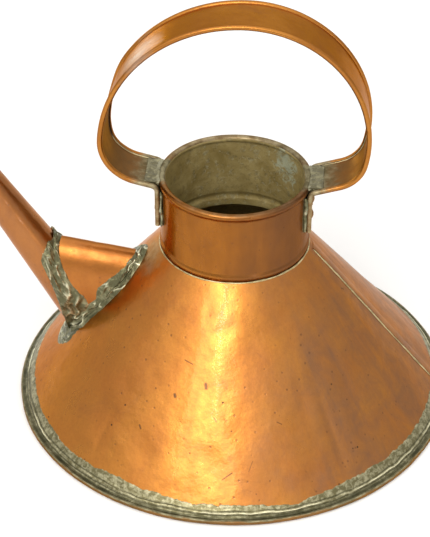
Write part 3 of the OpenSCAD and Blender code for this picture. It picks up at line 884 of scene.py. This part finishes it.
def tin_band():
    """The wide tinned seam of base and body: over the lip, a raised line in the corner, a film above it."""
    columns, lip_rows, film_rows = 1100, 14, 26
    turn = np.linspace(-math.pi, math.pi, columns, endpoint=False)
    around = circle(turn)
    ring = around * BASE_R
    edge = np.interp(np.degrees(turn), *np.array(TIN_EDGE).T)
    edge = edge + 0.6 * noise(ring, 17, 21) + 0.6 * noise(ring, 5.5, 22) + 0.35 * noise(ring, 1.8, 23)
    edge = np.maximum(edge, LIP_TOP_Z + 2.2)
    line_z = LIP_TOP_Z + 1.9 + 0.45 * noise(ring, 22, 24) + 0.3 * noise(ring, 6, 25)
    first = 0.2 + 0.6 * smooth(noise(ring, 13, 30), -0.6, 0.5)
    second_z = line_z + 1.2 + 0.9 * noise(ring, 18, 27)
    second = 0.5 * smooth(noise(ring, 26, 28), -0.5, 0.4)
    rows, heights, ups = [], [], []
    for v in np.linspace(0, 1, lip_rows):
        r = BASE_R - 1.15 - (BASE_R - 1.15 - CONE_FOOT_R - 0.35) * v
        rows.append(around * r + [0, 0, LIP_TOP_Z - 0.05])
        groove = 0.16 * math.sin(math.pi * min(1, v / 0.6)) - 0.06 + 0.55 * smooth(v, 0.7, 1.0)
        heights.append(np.full(columns, -0.15 if v == 0 else 0.08 + groove))
        ups.append(around * 0.5 * v + [0, 0, 1 - 0.15 * v])
    for v in np.linspace(0, 1, film_rows + 1)[1:]:
        z = LIP_TOP_Z + 0.4 + (edge - LIP_TOP_Z - 0.4) * v ** 1.5
        rows.append(around * cone_r(z)[:, None] + xyz(0.0, 0.0, z))
        crest = first * np.exp(-((z - line_z) / 0.5) ** 2) + second * np.exp(-((z - second_z) / 0.4) ** 2)
        film = 0.24 * (1 - smooth(v, 0.9, 1.0)) - 0.12 * smooth(v, 0.93, 1.0)
        heights.append(crest + film)
        ups.append(around * CONE_NORMAL_R + [0, 0, CONE_NORMAL_Z])
    flat, height, up = np.array(rows), np.array(heights), unit(np.array(ups))
    beside = np.abs(flat[..., 2] - line_z) - 1.1
    # tone: a highlight painted on the raised line, shade painted in the grooves beside it, and darker tin on
    # the lip
    tone = np.clip((height - 0.50) * 2.5, 0, 1) - 0.8 * np.exp(-(beside / 0.4) ** 2)
    tone[:lip_rows] = -0.72 + 0.3 * noise(flat[:lip_rows], 9, 29)
    lumps = 0.10 * ridges(flat, 8, 25) + 0.09 * noise(flat, 3.4, 26)
    height = height + np.where(height > 0, lumps * (0.5 + height), 0)
    push_out(flat, dents(flat))
    solder_band("base_tin_band", flat + up * height[..., None], flat - up * 0.3, tone, TIN,
                "base_seam_solder")


# ---------- neck ----------

def neck_wall(r):
    """Outline of one face of the neck's sheet, from its foot over the bead to below the rolled rim."""
    low, high = BEAD_Z - BEAD_HALF, BEAD_Z + BEAD_HALF
    z = np.concatenate([[NECK_LOW_Z], np.linspace(low, high, 15), np.linspace(high + 0.6, ROLL_Z - 2.3, 26)])
    bulge = BEAD_OUT * np.clip(np.cos((z - BEAD_Z) / BEAD_HALF * math.pi / 2), 0, 1) ** 1.3
    bulge[np.abs(z - BEAD_Z) >= BEAD_HALF] = 0
    return np.stack([r + bulge, z], -1)


def neck():
    outside, inside = neck_wall(NECK_R), neck_wall(NECK_R - SHEET)[::-1]
    roll = arc((ROLL_CENTRE_R, ROLL_Z), ROLL_R, -58, 268, 36)
    first_inner = len(outside) + 24                               # the patina starts on the rim's inner side
    profile = np.concatenate([outside, roll, inside])
    columns = 320
    points = ring_grid(profile, columns)
    fade = smooth(points[..., 2], BEAD_Z + 3, BEAD_Z + 16)
    turn = np.arctan2(points[..., 1], points[..., 0])
    back = np.cos(turn - math.pi / 2).clip(0) ** 6                # the rim is a little flat at the back
    push_out(points, fade * (0.22 * noise(points, 30, 31) - 0.7 * back * smooth(points[..., 2], 150, 170)
                             + 0.07 * noise(points, 8, 32)))
    points[..., 2] -= smooth(points[..., 2], 160, 172) * 0.35 * (0.5 + 0.5 * noise(points, 42, 33)).clip(0)
    is_inner = (np.arange(len(profile)) >= first_inner).astype(int)
    piece("neck_skin", points, grid_faces(len(profile), columns), "can", [COPPER_NECK, INSIDE],
          ["neck_collar", "neck_rim_wire"], np.repeat(is_inner, columns))


def neck_foot():
    around = circle(turns(620))
    line = around * (CONE_TOP_R + 0.05) + [0, 0, CONE_TOP_Z + 0.05]
    outward = around * CONE_NORMAL_R + [0, 0, CONE_NORMAL_Z]
    bead("neck_foot_bead", line, outward, 0.6, SEAM, ["neck_foot_solder"], 35, closed=True, shade=0.15)


# ---------- handle ----------

def side_path(side, arch_r, cheek_r, arch_turn, cheek_turn):
    """[x, z] of one side of the handle's centre line, from its top down to its foot."""
    def at(centre, r, heading):
        return centre + r * np.array([math.sin(math.radians(heading)), math.cos(math.radians(heading))])

    turn = math.radians(cheek_turn)
    foot_x = STRAP_X - side * CROWN_X
    arch_c = np.array([0, HANDLE_TOP_Z - arch_r])
    cheek_c = at(arch_c, arch_r - cheek_r, arch_turn)
    start = at(cheek_c, cheek_r, cheek_turn)
    run = (start[0] - foot_x - ANKLE_R * (1 - math.sin(turn))) / -math.cos(turn)
    ankle_c = at(start + run * np.array([math.cos(turn), -math.sin(turn)]), ANKLE_R, cheek_turn)
    points = [at(arch_c, arch_r, h) for h in np.linspace(0, arch_turn, 60)]
    points += [at(cheek_c, cheek_r, h) for h in np.linspace(arch_turn, cheek_turn, 40)[1:]]
    points += [at(ankle_c, -ANKLE_R, h) for h in np.linspace(cheek_turn, 90, 14)]
    points.append(np.array([foot_x, FOOT_Z]))
    return np.array([[CROWN_X + side * p[0], p[1]] for p in points])


FRONT_PATH = side_path(-1, 92.0, 29.0, 86.0, 166.0)
REAR_PATH = side_path(1, 80.0, 22.5, 102.0, 162.5)
STRAP_LINE = resample(np.concatenate([FRONT_PATH[::-1], REAR_PATH[1:]]), 1.6)
STRAP_AHEAD = unit(np.gradient(STRAP_LINE, axis=0))
STRAP_OUT = np.stack([-STRAP_AHEAD[:, 1], STRAP_AHEAD[:, 0]], -1)


def strap_twist(p):
    """Moves points, in place, because the strap's far edge stands in a little on the spout's side."""
    place = smooth(p[..., 2], 182, 200) * (1 - smooth(p[..., 2], 222, 248)) * (p[..., 0] < 0)
    p[..., 0] += 1.7 * place * smooth(p[..., 1], -4, HEM_Y)
    return p


def sweep_strap(section):
    """Points of a [y, height] section carried along the strap."""
    x = STRAP_LINE[:, :1] + STRAP_OUT[:, :1] * section[:, 1]
    z = STRAP_LINE[:, 1:] + STRAP_OUT[:, 1:] * section[:, 1]
    return xyz(x, section[:, 0], z)


def upright(xz):
    """Directions in the XZ plane as directions in space."""
    return xyz(xz[:, 0], 0.0, xz[:, 1])


def strap():
    half, hem_in = STRAP_T / 2, HEM_R - STRAP_T
    join, join_in = math.degrees(math.asin(half / HEM_R)), math.degrees(math.asin(half / hem_in))
    end = -140
    hem = np.concatenate([
        arc((HEM_Y, 0), HEM_R, 180 - join, end, 26),
        arc((HEM_Y, 0), hem_in, end, 180 + join_in, 20),
    ])
    flat = np.linspace(hem[-1][0], -hem[-1][0], 24)[1:-1]
    under = np.stack([flat, np.full_like(flat, -half)], -1)
    section = np.concatenate([hem, under, hem[::-1] * [-1, 1], under[::-1] * [1, -1]])
    inner_face = np.zeros(len(section), int)
    inner_face[len(hem) - 1:len(hem) + len(under)] = 1
    points = sweep_strap(section)
    middle = 1 - smooth(np.abs(points[..., 1]), HEM_Y - 6, HEM_Y - 1.5)
    high = smooth(points[..., 2], 176, 190)
    wave = 0.20 * noise(points, 22, 41) + 0.07 * noise(points, 7, 42)
    points = points + upright(STRAP_OUT)[:, None] * (middle * high * wave)[..., None]
    strap_twist(points)
    sides = np.tile(inner_face, len(STRAP_LINE) - 1)
    piece("strap_skin", points, capped_faces(*points.shape[:2]), "can",
          [COPPER_HANDLE, COPPER_UNDER], ["handle_strap"], np.concatenate([sides, [0, 0]]))


def hem_wire(side, name):
    points = strap_twist(sweep_strap(arc((side * HEM_Y, 0), 0.8, 0, 360, 12)[:-1]))
    piece(name + "_drawn", points, capped_faces(*points.shape[:2]), "can", [IRON], [name])


def rivets():
    """Four rivets: a low hammered head outside, a flat one inside."""
    outer = STRAP_X + STRAP_T / 2 - 0.05
    inner = math.sqrt((NECK_R - SHEET) ** 2 - (RIVET_Y + 3.2) ** 2) - 0.1
    profile = np.concatenate([
        [[0, inner - 1.0], [1.4, inner - 1.0]], arc((1.4, inner), 1.0, -70, 0, 4), [[1.6, inner + 0.05]],
        [[1.6, outer]], arc((1.9, outer + 0.6), 1.3, -50, 50, 7),
        [[2.2, outer + 1.95], [1.3, outer + 2.4], [0, outer + 2.55]],
    ])
    spin = turns(28)
    r, h = profile[:, :1], profile[:, 1:]
    made, faces = [], []
    for side in (-1, 1):
        for y in (-RIVET_Y, RIVET_Y):
            p = xyz(side * h, y + r * np.cos(spin), RIVET_Z + r * np.sin(spin))
            p[..., 0] += side * 0.12 * noise(p, 1.6, 45) * (np.abs(p[..., 0]) > outer)
            before = len(made) * len(spin) * len(profile)
            faces += grid_faces(len(profile), len(spin), wrap_rows=False, start=before)
            made.append(p)
    piece("rivet_heads", np.array(made), faces, "can", [COPPER_RIVET], ["handle_rivets"])


def handle_lines():
    """Solder beside each foot of the handle: along the far hem's step, down both corners, outside the rim."""
    for end, side, top_z, seed in (("seam_side", 1, 216, 121), ("spout_side", -1, 190, 125)):
        run = (STRAP_LINE[:, 0] * side > 55) & (STRAP_LINE[:, 1] < top_z)
        path, out = resample(STRAP_LINE[run], 0.8), STRAP_OUT[run]
        share, old_share = np.linspace(0, 1, len(path)), np.linspace(0, 1, len(out))
        out = np.stack([np.interp(share, old_share, out[:, k]) for k in (0, 1)], -1)
        path = path - out * (STRAP_T / 2 + 0.12)
        line = xyz(path[:, 0], HEM_Y - HEM_R + 0.1, path[:, 1])
        bead("handle_line_" + end, strap_twist(line), -upright(out), 0.42, SEAM, (), seed)
        z = np.linspace(FOOT_Z - 1, ROLL_Z - ROLL_R - 1, 80)
        for edge, near in (("near", -1), ("far", 1)):
            corner = xyz(side * 47.2, near * 16.9, z)
            corner[:, 1] += 0.5 * noise(corner, 6, seed + 2)
            facing = np.tile([side * 0.35, near * 0.94, 0.0], (len(z), 1))
            name = f"handle_corner_{edge}_{end}"
            bead(name, corner, facing, 1.05, SOLDER, (), seed + near, 0.9, shade=0.15, rough=1.5)
        around = circle(np.radians(np.linspace(-17, 17, 60))) * [side, 1, 1]
        groove = around * (ROLL_CENTRE_R + ROLL_R + 0.7) + [0, 0, ROLL_Z + 1.1]
        bead("handle_rim_fillet_" + end, groove, around * 0.5 + [0, 0, 0.86], 2.1, WASH, (), seed + 3, 0.55,
             shade=0.1, rough=0.7)


def lumpy_copy(node, name, seed):
    """The solder wash at one foot of the handle: its CAD node's own shape, set in uneven lumps."""
    voxel, rise, size, sink = 0.45, 0.4, 6, 0.3
    made = link(name, frame["nodes"][node].data.copy())
    change = made.modifiers.new("remesh", "REMESH")
    change.mode, change.voxel_size = "VOXEL", voxel * MM
    apply_modifiers(made)
    mesh = made.data
    co = np.empty(len(mesh.vertices) * 3, np.float32)
    no = np.empty(len(mesh.vertices) * 3, np.float32)
    mesh.vertices.foreach_get("co", co)
    mesh.vertices.foreach_get("normal", no)
    p, n = co.reshape(-1, 3) / MM, no.reshape(-1, 3)
    lift = rise * (ridges(p, size, seed) - 0.35) + 0.5 * rise * noise(p, size * 0.4, seed + 1) - sink
    drift = np.stack([noise(p, size * 1.4, seed + k) for k in (2, 3, 4)], -1)
    p = p + n * lift[:, None] + 0.4 * rise * drift
    mesh.vertices.foreach_set("co", (p * MM).astype(np.float32).ravel())
    mesh.polygons.foreach_set("use_smooth", [True] * len(mesh.polygons))
    mesh.materials.clear()
    mesh.materials.append(WASH)
    mesh.update()
    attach(made, "can")
    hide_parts(node)


# ---------- spout and boot ----------

def mitre_along(start, direction):
    """How far along direction lines from start meet the mitre."""
    return ((MITRE_MID - start) @ MITRE_IN) / (direction @ MITRE_IN)


def spout_tube():
    spin = turns(128)
    square = np.cos(spin)[:, None] * OVER + np.sin(spin)[:, None] * SIDE

    def surface(thin, rows, end):
        line = AXIS - TAPER * square
        start = SPOUT_FOOT + (SPOUT_FOOT_R - thin) * square
        first = mitre_along(start, line)
        share = np.linspace(0, 1, rows)[:, None]
        s = first * (1 - share) + end * share
        p = start + s[..., None] * line
        fade = smooth(s, 70, 90) * (1 - smooth(s, 165, 175))
        return p + square * (fade * (0.16 * noise(p, 30, 51) + 0.05 * noise(p, 10, 52)))[..., None]

    outer, inner = surface(0.0, 120, SPOUT_LEN - 0.25), surface(SPOUT_T, 60, SPOUT_LEN)
    tube_piece("spout_skin", outer, inner, COPPER_SPOUT, "spout_tube")


def boot_lines(spin, thin, sunk):
    """Where the boot's lines start, on the mitre, and where they end, sunk so deep in the body."""
    y, height = (BOOT_R - thin) * np.cos(spin), (BOOT_HALF_H - thin) * np.sin(spin)
    start = xyz(MITRE_MID[0], y, MITRE_MID[2] + height)
    start = start + mitre_along(start, BOOT_RUN)[:, None] * BOOT_RUN
    run = np.broadcast_to(BOOT_RUN, start.shape)
    return start, reach(start, run, lambda p: -cone_gap(p), np.full(len(spin), -sunk), 90)


def boot():
    spin = turns(144)

    def surface(thin, rows):
        start, end = boot_lines(spin, thin, 0.05)
        share = np.linspace(0, 1, rows)[:, None, None]
        p = start * (1 - share) + end * share
        fade = np.sin(share[..., 0] * math.pi)
        lift = fade * (0.22 * noise(p, 20, 55) + 0.06 * noise(p, 7, 56))
        return p + normal_of(boot_gap, p) * lift[..., None]

    tube_piece("boot_skin", surface(0.0, 44), surface(SPOUT_T, 24), COPPER_BOOT, "spout_boot")


def flowing(spin, across, seed):
    """Height of lumps that run along a solder band, and a highlight painted on their crests. across is the
    way over it.
    """
    ring = 26 * circle(spin)
    across = across + 2.6 * noise(ring, 11, seed) + 1.1 * noise(ring, 4, seed + 1)
    place = np.broadcast_to(ring, (*across.shape, 3)).copy()
    place[..., 2] = across
    runs, fine = ridges(place, (12, 12, 4.2), seed + 2), ridges(place, (5, 5, 2.6), seed + 4)
    height = 1.5 * runs ** 1.5 + 0.14 * noise(place, (6, 6, 2.4), seed + 3) + 0.4 * fine ** 2
    return height, smooth(runs * (0.66 + 0.34 * fine), 0.66, 0.95)


def uneven_width(levels, widths, height, ring, seed):
    """Width of a solder band's side at heights from -1 to 1, between the listed ones, with a ragged edge."""
    return np.interp(height, levels, widths) + 0.8 * noise(ring, 9, seed) + 0.4 * noise(ring, 3.2, seed + 1)


# Widths of the joint's solder along the spout and the boot, from the mitre's lower end, -1, to its top, 1
MITRE_LEVELS = (-1.0, -0.75, -0.6, -0.4, -0.15, 0.05, 0.2, 0.4, 0.6, 0.8, 1.0)
MITRE_ON_SPOUT = (2.0, 1.4, 1.6, 5.6, 13.0, 20.5, 22.5, 17.0, 13.0, 9.5, 1.0)
MITRE_ON_BOOT = (5.0, 14.0, 18.0, 19.0, 19.0, 13.0, 10.0, 6.8, 4.6, 4.4, 5.0)


def joint_solder():
    """The lumpy band over the mitre, thrown wide on the spout near its top and on the boot lower down."""
    columns, rows = 400, 44
    spin = turns(columns)
    height = np.sin(spin)
    half_length = np.linalg.norm(MITRE_HIGH - MITRE_LOW) / 2
    out = BOOT_R * np.cos(spin)[:, None] * SIDE + half_length * height[:, None] * MITRE_UP
    ring = MITRE_MID + out
    v = np.linspace(-1, 1, rows)[:, None]
    on_spout_side = uneven_width(MITRE_LEVELS, MITRE_ON_SPOUT, height, ring, 61)
    on_boot_side = uneven_width(MITRE_LEVELS, MITRE_ON_BOOT, height, ring, 63)
    spout_in, boot_in = AXIS @ MITRE_IN, BOOT_RUN @ MITRE_IN
    k = np.where(v < 0, v * on_spout_side * -spout_in, v * on_boot_side * boot_in)
    centre = SPOUT_FOOT + mitre_along(SPOUT_FOOT, AXIS) * AXIS
    up_spout = centre + (k / spout_in)[..., None] * AXIS
    down_boot = centre + (k / boot_in)[..., None] * BOOT_RUN
    start = np.where((k < 0)[..., None], up_spout, down_boot)
    out = np.broadcast_to(unit(out), start.shape)

    def gap(p):
        share = smooth((p - MITRE_MID) @ MITRE_IN, -3.5, 3.5)
        return (1 - share) * spout_gap(p) + share * boot_gap(p)

    lumps, tone = flowing(spin, k, 65)
    level = -0.28 + (0.62 + lumps + 0.8 * np.exp(-(k / 3.5) ** 2)) * (1 - np.abs(v) ** 4)
    top, below = reach(start, out, gap, level), reach(start, out, gap, np.full(k.shape, -0.5))
    solder_band("joint_solder_band", top, below, tone, SOLDER, "spout_boot_solder")


# Widths of the foot's solder on the boot and on the body, from the foot's lower end, -1, to its top, 1
FOOT_LEVELS = (-1.0, -0.85, -0.6, -0.2, 0.02, 0.28, 0.6, 0.8, 1.0)
FOOT_ON_BOOT = (2.0, 6.0, 11.0, 9.0, 8.0, 13.5, 10.3, 6.8, 5.4)
FOOT_ON_BODY = (17.0, 10.0, 6.5, 5.4, 5.2, 5.0, 4.8, 5.0, 5.4)
TONGUE_TURN = math.radians(12)          # the tongue below the foot is this far off its middle


def foot_solder():
    """The lumpy fillet where boot and spout stand on the body, running down into a tongue below."""
    columns, rows = 440, 44
    spin = turns(columns)
    start, seam = boot_lines(spin, 0.0, 0.0)
    away, cone_out = normal_of(boot_gap, seam), normal_of(cone_gap, seam)
    away = unit(away - np.sum(away * cone_out, -1, keepdims=True) * cone_out)
    on_boot = uneven_width(FOOT_LEVELS, FOOT_ON_BOOT, np.sin(spin), seam, 71)
    on_boot = np.minimum(on_boot, np.linalg.norm(seam - start, axis=-1) + 1.0)
    on_body = uneven_width(FOOT_LEVELS, FOOT_ON_BODY, np.sin(spin + TONGUE_TURN), seam, 73)
    v = np.linspace(-1, 1, rows)[:, None]
    a, b = np.clip(-v, 0, 1) * on_boot, np.clip(v, 0, 1) * on_body
    flat = seam - BOOT_RUN * a[..., None] + away * b[..., None]
    flat = flat - np.where(b > 0, cone_gap(flat), 0)[..., None] * normal_of(cone_gap, flat)
    share = smooth(v, -0.5, 0.5)[..., None]
    square = unit(normal_of(boot_gap, flat) * (1 - share) + normal_of(cone_gap, flat) * share)
    fillet = 1.9 * np.exp(-((a + b) / 3.2) ** 2)
    lumps, tone = flowing(spin, b - a, 75)
    level = -0.28 + (0.5 + lumps + fillet) * (1 - np.abs(v) ** 4)
    top, below = flat + square * level[..., None], flat - square * 0.5
    solder_band("foot_solder_band", top, below, tone, SOLDER, "spout_foot_solder")


def spout_seam():
    s = np.linspace(72, SPOUT_LEN - 30, 200)
    line = SPOUT_FOOT + s[:, None] * AXIS - (spout_r(s) - 0.15)[:, None] * OVER
    bead("spout_seam_line", line, np.tile(-OVER, (len(s), 1)), 0.62, SOLDER, ["spout_seam_solder"], 81)


# ---------- rose ----------

def lathe_on_spout(name, profile, columns, material, node, dent=0.0, seed=0):
    points = ring_grid(profile, columns)
    push_out(points, dent * noise(points, 14, seed))
    piece(name, on_spout(points), grid_faces(len(profile), columns), "rose", [material], [node])


def rose():
    wall, sheet, clear = 0.9, 0.8, 0.08
    start, end = SPOUT_LEN - 26, SPOUT_LEN + 6
    foot_r, tip_r = spout_r(start) + clear, SPOUT_TIP_R + clear
    socket = np.concatenate([
        [[foot_r + 0.3, start + 0.1]], arc((foot_r + 1.2, start + 1.0), 0.9, -90, 60, 6),
        [[foot_r + wall, start + 2.2]],
        resample([[foot_r + wall, start + 2.4], [tip_r + wall, SPOUT_LEN], [tip_r + wall, end]], 2.0),
        [[tip_r, end]], resample([[tip_r, end - 0.4], [tip_r, SPOUT_LEN], [foot_r, start + 1.0]], 3.0),
    ])
    lathe_on_spout("socket_skin", socket, 96, BRASS, "rose_socket")
    low_r, rim_r = tip_r + wall + 0.05, 33.0
    first, last = SPOUT_LEN + 3, SPOUT_LEN + 41
    funnel = subdivide([
        [low_r, first - 1], [low_r + sheet, first - 1], [rim_r, last], [rim_r, last + 3],
        [rim_r - sheet, last + 3], [rim_r - sheet, last + 0.3], [low_r, first + 0.6],
    ], 1.6)
    lathe_on_spout("funnel_skin", funnel, 160, COPPER_ROSE, "rose_funnel", 0.16, 91)
    turn = turns(180)
    outward = (np.cos(turn)[:, None] * OVER + np.sin(turn)[:, None] * SIDE) * 0.8 - 0.6 * AXIS
    for name, r, s, size, seed, node in (
        ("rose_neck_bead", low_r + sheet + 0.25, first - 1.1, 0.75, 92, "rose_neck_solder"),
        ("rose_rim_bead", rim_r + 0.15, last - 0.1, 0.7, 93, "rose_rim_solder"),
    ):
        line = on_spout(r * circle(turn) + [0, 0, s])
        bead(name, line, outward, size, SOLDER, [node], seed, body_name="rose", closed=True)


# ---------- CAD nodes that stay ----------

def paint(node, material):
    """Gives a CAD node that stays as it is a material."""
    shown = frame["nodes"][node]
    shown.data.materials.clear()
    shown.data.materials.append(material)


for build in (body, body_lap, body_seam, base, tin_band, neck, neck_foot, strap):
    build()
hem_wire(-1, "handle_wire_left")
hem_wire(1, "handle_wire_right")
rivets()
handle_lines()
lumpy_copy("handle_solder_front", "handle_solder_spout_side", 101)
lumpy_copy("handle_solder_rear", "handle_solder_seam_side", 111)
for build in (spout_tube, boot, joint_solder, foot_solder, spout_seam, rose):
    build()
paint("spout_strainer", COPPER_BASE)
paint("rose_face", BRASS)


# ---------- stage, light and camera ----------

FLOOR_HALF = 6.0
FLOOR_Z = -0.0006
LIGHT_TARGET = Vector((0, 0, 0.10))


def stage_floor():
    """A wide pale floor just below the base."""
    mesh = bpy.data.meshes.new("floor")
    corners = [(-FLOOR_HALF, -FLOOR_HALF), (FLOOR_HALF, -FLOOR_HALF), (FLOOR_HALF, FLOOR_HALF),
               (-FLOOR_HALF, FLOOR_HALF)]
    mesh.from_pydata([(x, y, FLOOR_Z) for x, y in corners], [], [(0, 1, 2, 3)])
    mesh.materials.append(floor_material())
    made = link("floor", mesh)


def softbox(name, azimuth, elevation, distance, width, height, brightness, colour):
    """A rectangular light that looks at the can. Azimuth 0 is in front, -Y, and grows towards +X."""
    a, e = math.radians(azimuth), math.radians(elevation)
    away = Vector((math.sin(a) * math.cos(e), -math.cos(a) * math.cos(e), math.sin(e)))
    light = bpy.data.lights.new(name, "AREA")
    light.shape, light.size, light.size_y = "RECTANGLE", width, height
    light.energy, light.color = brightness * math.pi * width * height, colour
    made = link(name, light)
    made.location = LIGHT_TARGET + away * distance
    made.rotation_mode = "QUATERNION"
    made.rotation_quaternion = (-away).to_track_quat("-Z", "Y")
    made.visible_camera = False


# Name, azimuth and elevation in degrees, distance, width and height in metres, brightness, colour
LIGHTS = (
    ("key", -14, 44, 2.2, 1.15, 1.1, 3.4, (1.0, 0.97, 0.90)),
    ("glow", -8, 44, 2.3, 2.7, 1.7, 0.55, (1.0, 0.98, 0.95)),
    ("streak", -9, 43, 2.0, 0.05, 0.5, 26, (1.0, 0.98, 0.94)),
    ("left_front", -58, 40, 2.3, 1.5, 1.3, 0.50, (1.0, 0.97, 0.92)),
    ("side", 33, 12, 2.2, 0.15, 0.6, 7.0, (1.0, 0.92, 0.86)),
    ("window", -144, 5, 2.4, 0.5, 0.5, 4.0, (0.90, 0.96, 1.0)),
)
BACKDROP = (0.96, 0.96, 0.95, 1)
# The room's colour from level, 0, to straight overhead, 1
ROOM = ((0.25, (0.66, 0.65, 0.63, 1)), (0.65, (1.0, 0.99, 0.97, 1)), (0.92, (1.45, 1.44, 1.42, 1)))


def world():
    """A pale room around the can, brighter overhead. The camera itself sees a plain backdrop."""
    made = bpy.data.worlds.new("studio")
    bpy.context.scene.world = made
    made.use_nodes = True
    nodes, wire = made.node_tree.nodes, made.node_tree.links.new
    nodes.clear()
    kinds = "OutputWorld MixShader LightPath Background Background TexCoord SeparateXYZ ValToRGB".split()
    out, mix, path, seen, room, place, split, ramp = [nodes.new("ShaderNode" + kind) for kind in kinds]
    seen.inputs["Color"].default_value = BACKDROP
    for strength in (seen.inputs["Strength"], room.inputs["Strength"]):
        strength.default_value = 1.0
    stops = ramp.color_ramp.elements
    for k, (height, colour) in enumerate(ROOM):
        stop = stops[k] if k < 2 else stops.new(height)
        stop.position, stop.color = height, colour
    wire(place.outputs["Generated"], split.inputs[0])
    wire(split.outputs["Z"], ramp.inputs[0])
    wire(ramp.outputs[0], room.inputs["Color"])
    wire(path.outputs["Is Camera Ray"], mix.inputs[0])
    wire(room.outputs[0], mix.inputs[1])
    wire(seen.outputs[0], mix.inputs[2])
    wire(mix.outputs[0], out.inputs[0])


def camera():
    """The photo's own view, looking down at the can from a little to its right."""
    distance, aim_x, aim_z = 1230.262, -13.045, 95.331
    elevation, round_z, roll = np.radians([36.23, 4.482, 0.075]).tolist()
    turn = Matrix.Rotation(round_z, 3, "Z")
    place = turn @ Vector((aim_x, -distance * math.cos(elevation), aim_z + distance * math.sin(elevation)))
    ahead = turn @ Vector((0, math.cos(elevation), -math.sin(elevation)))
    right = turn @ Vector((1, 0, 0))
    up = right.cross(ahead)
    right, up = math.cos(roll) * right + math.sin(roll) * up, math.cos(roll) * up - math.sin(roll) * right
    data = bpy.data.cameras.new("camera")
    data.sensor_width, data.lens = 36.0, 121.52
    data.clip_start, data.clip_end = 0.05, 60
    made = link("camera", data)
    frame_of_view = Matrix.Identity(4)
    for row in range(3):
        frame_of_view[row][:] = (right[row], up[row], -ahead[row], place[row] * MM)
    made.matrix_world = frame_of_view
    bpy.context.scene.camera = made


stage_floor()
world()
camera()
for light in LIGHTS:
    softbox(*light)
bpy.context.scene.view_settings.view_transform = "Standard"
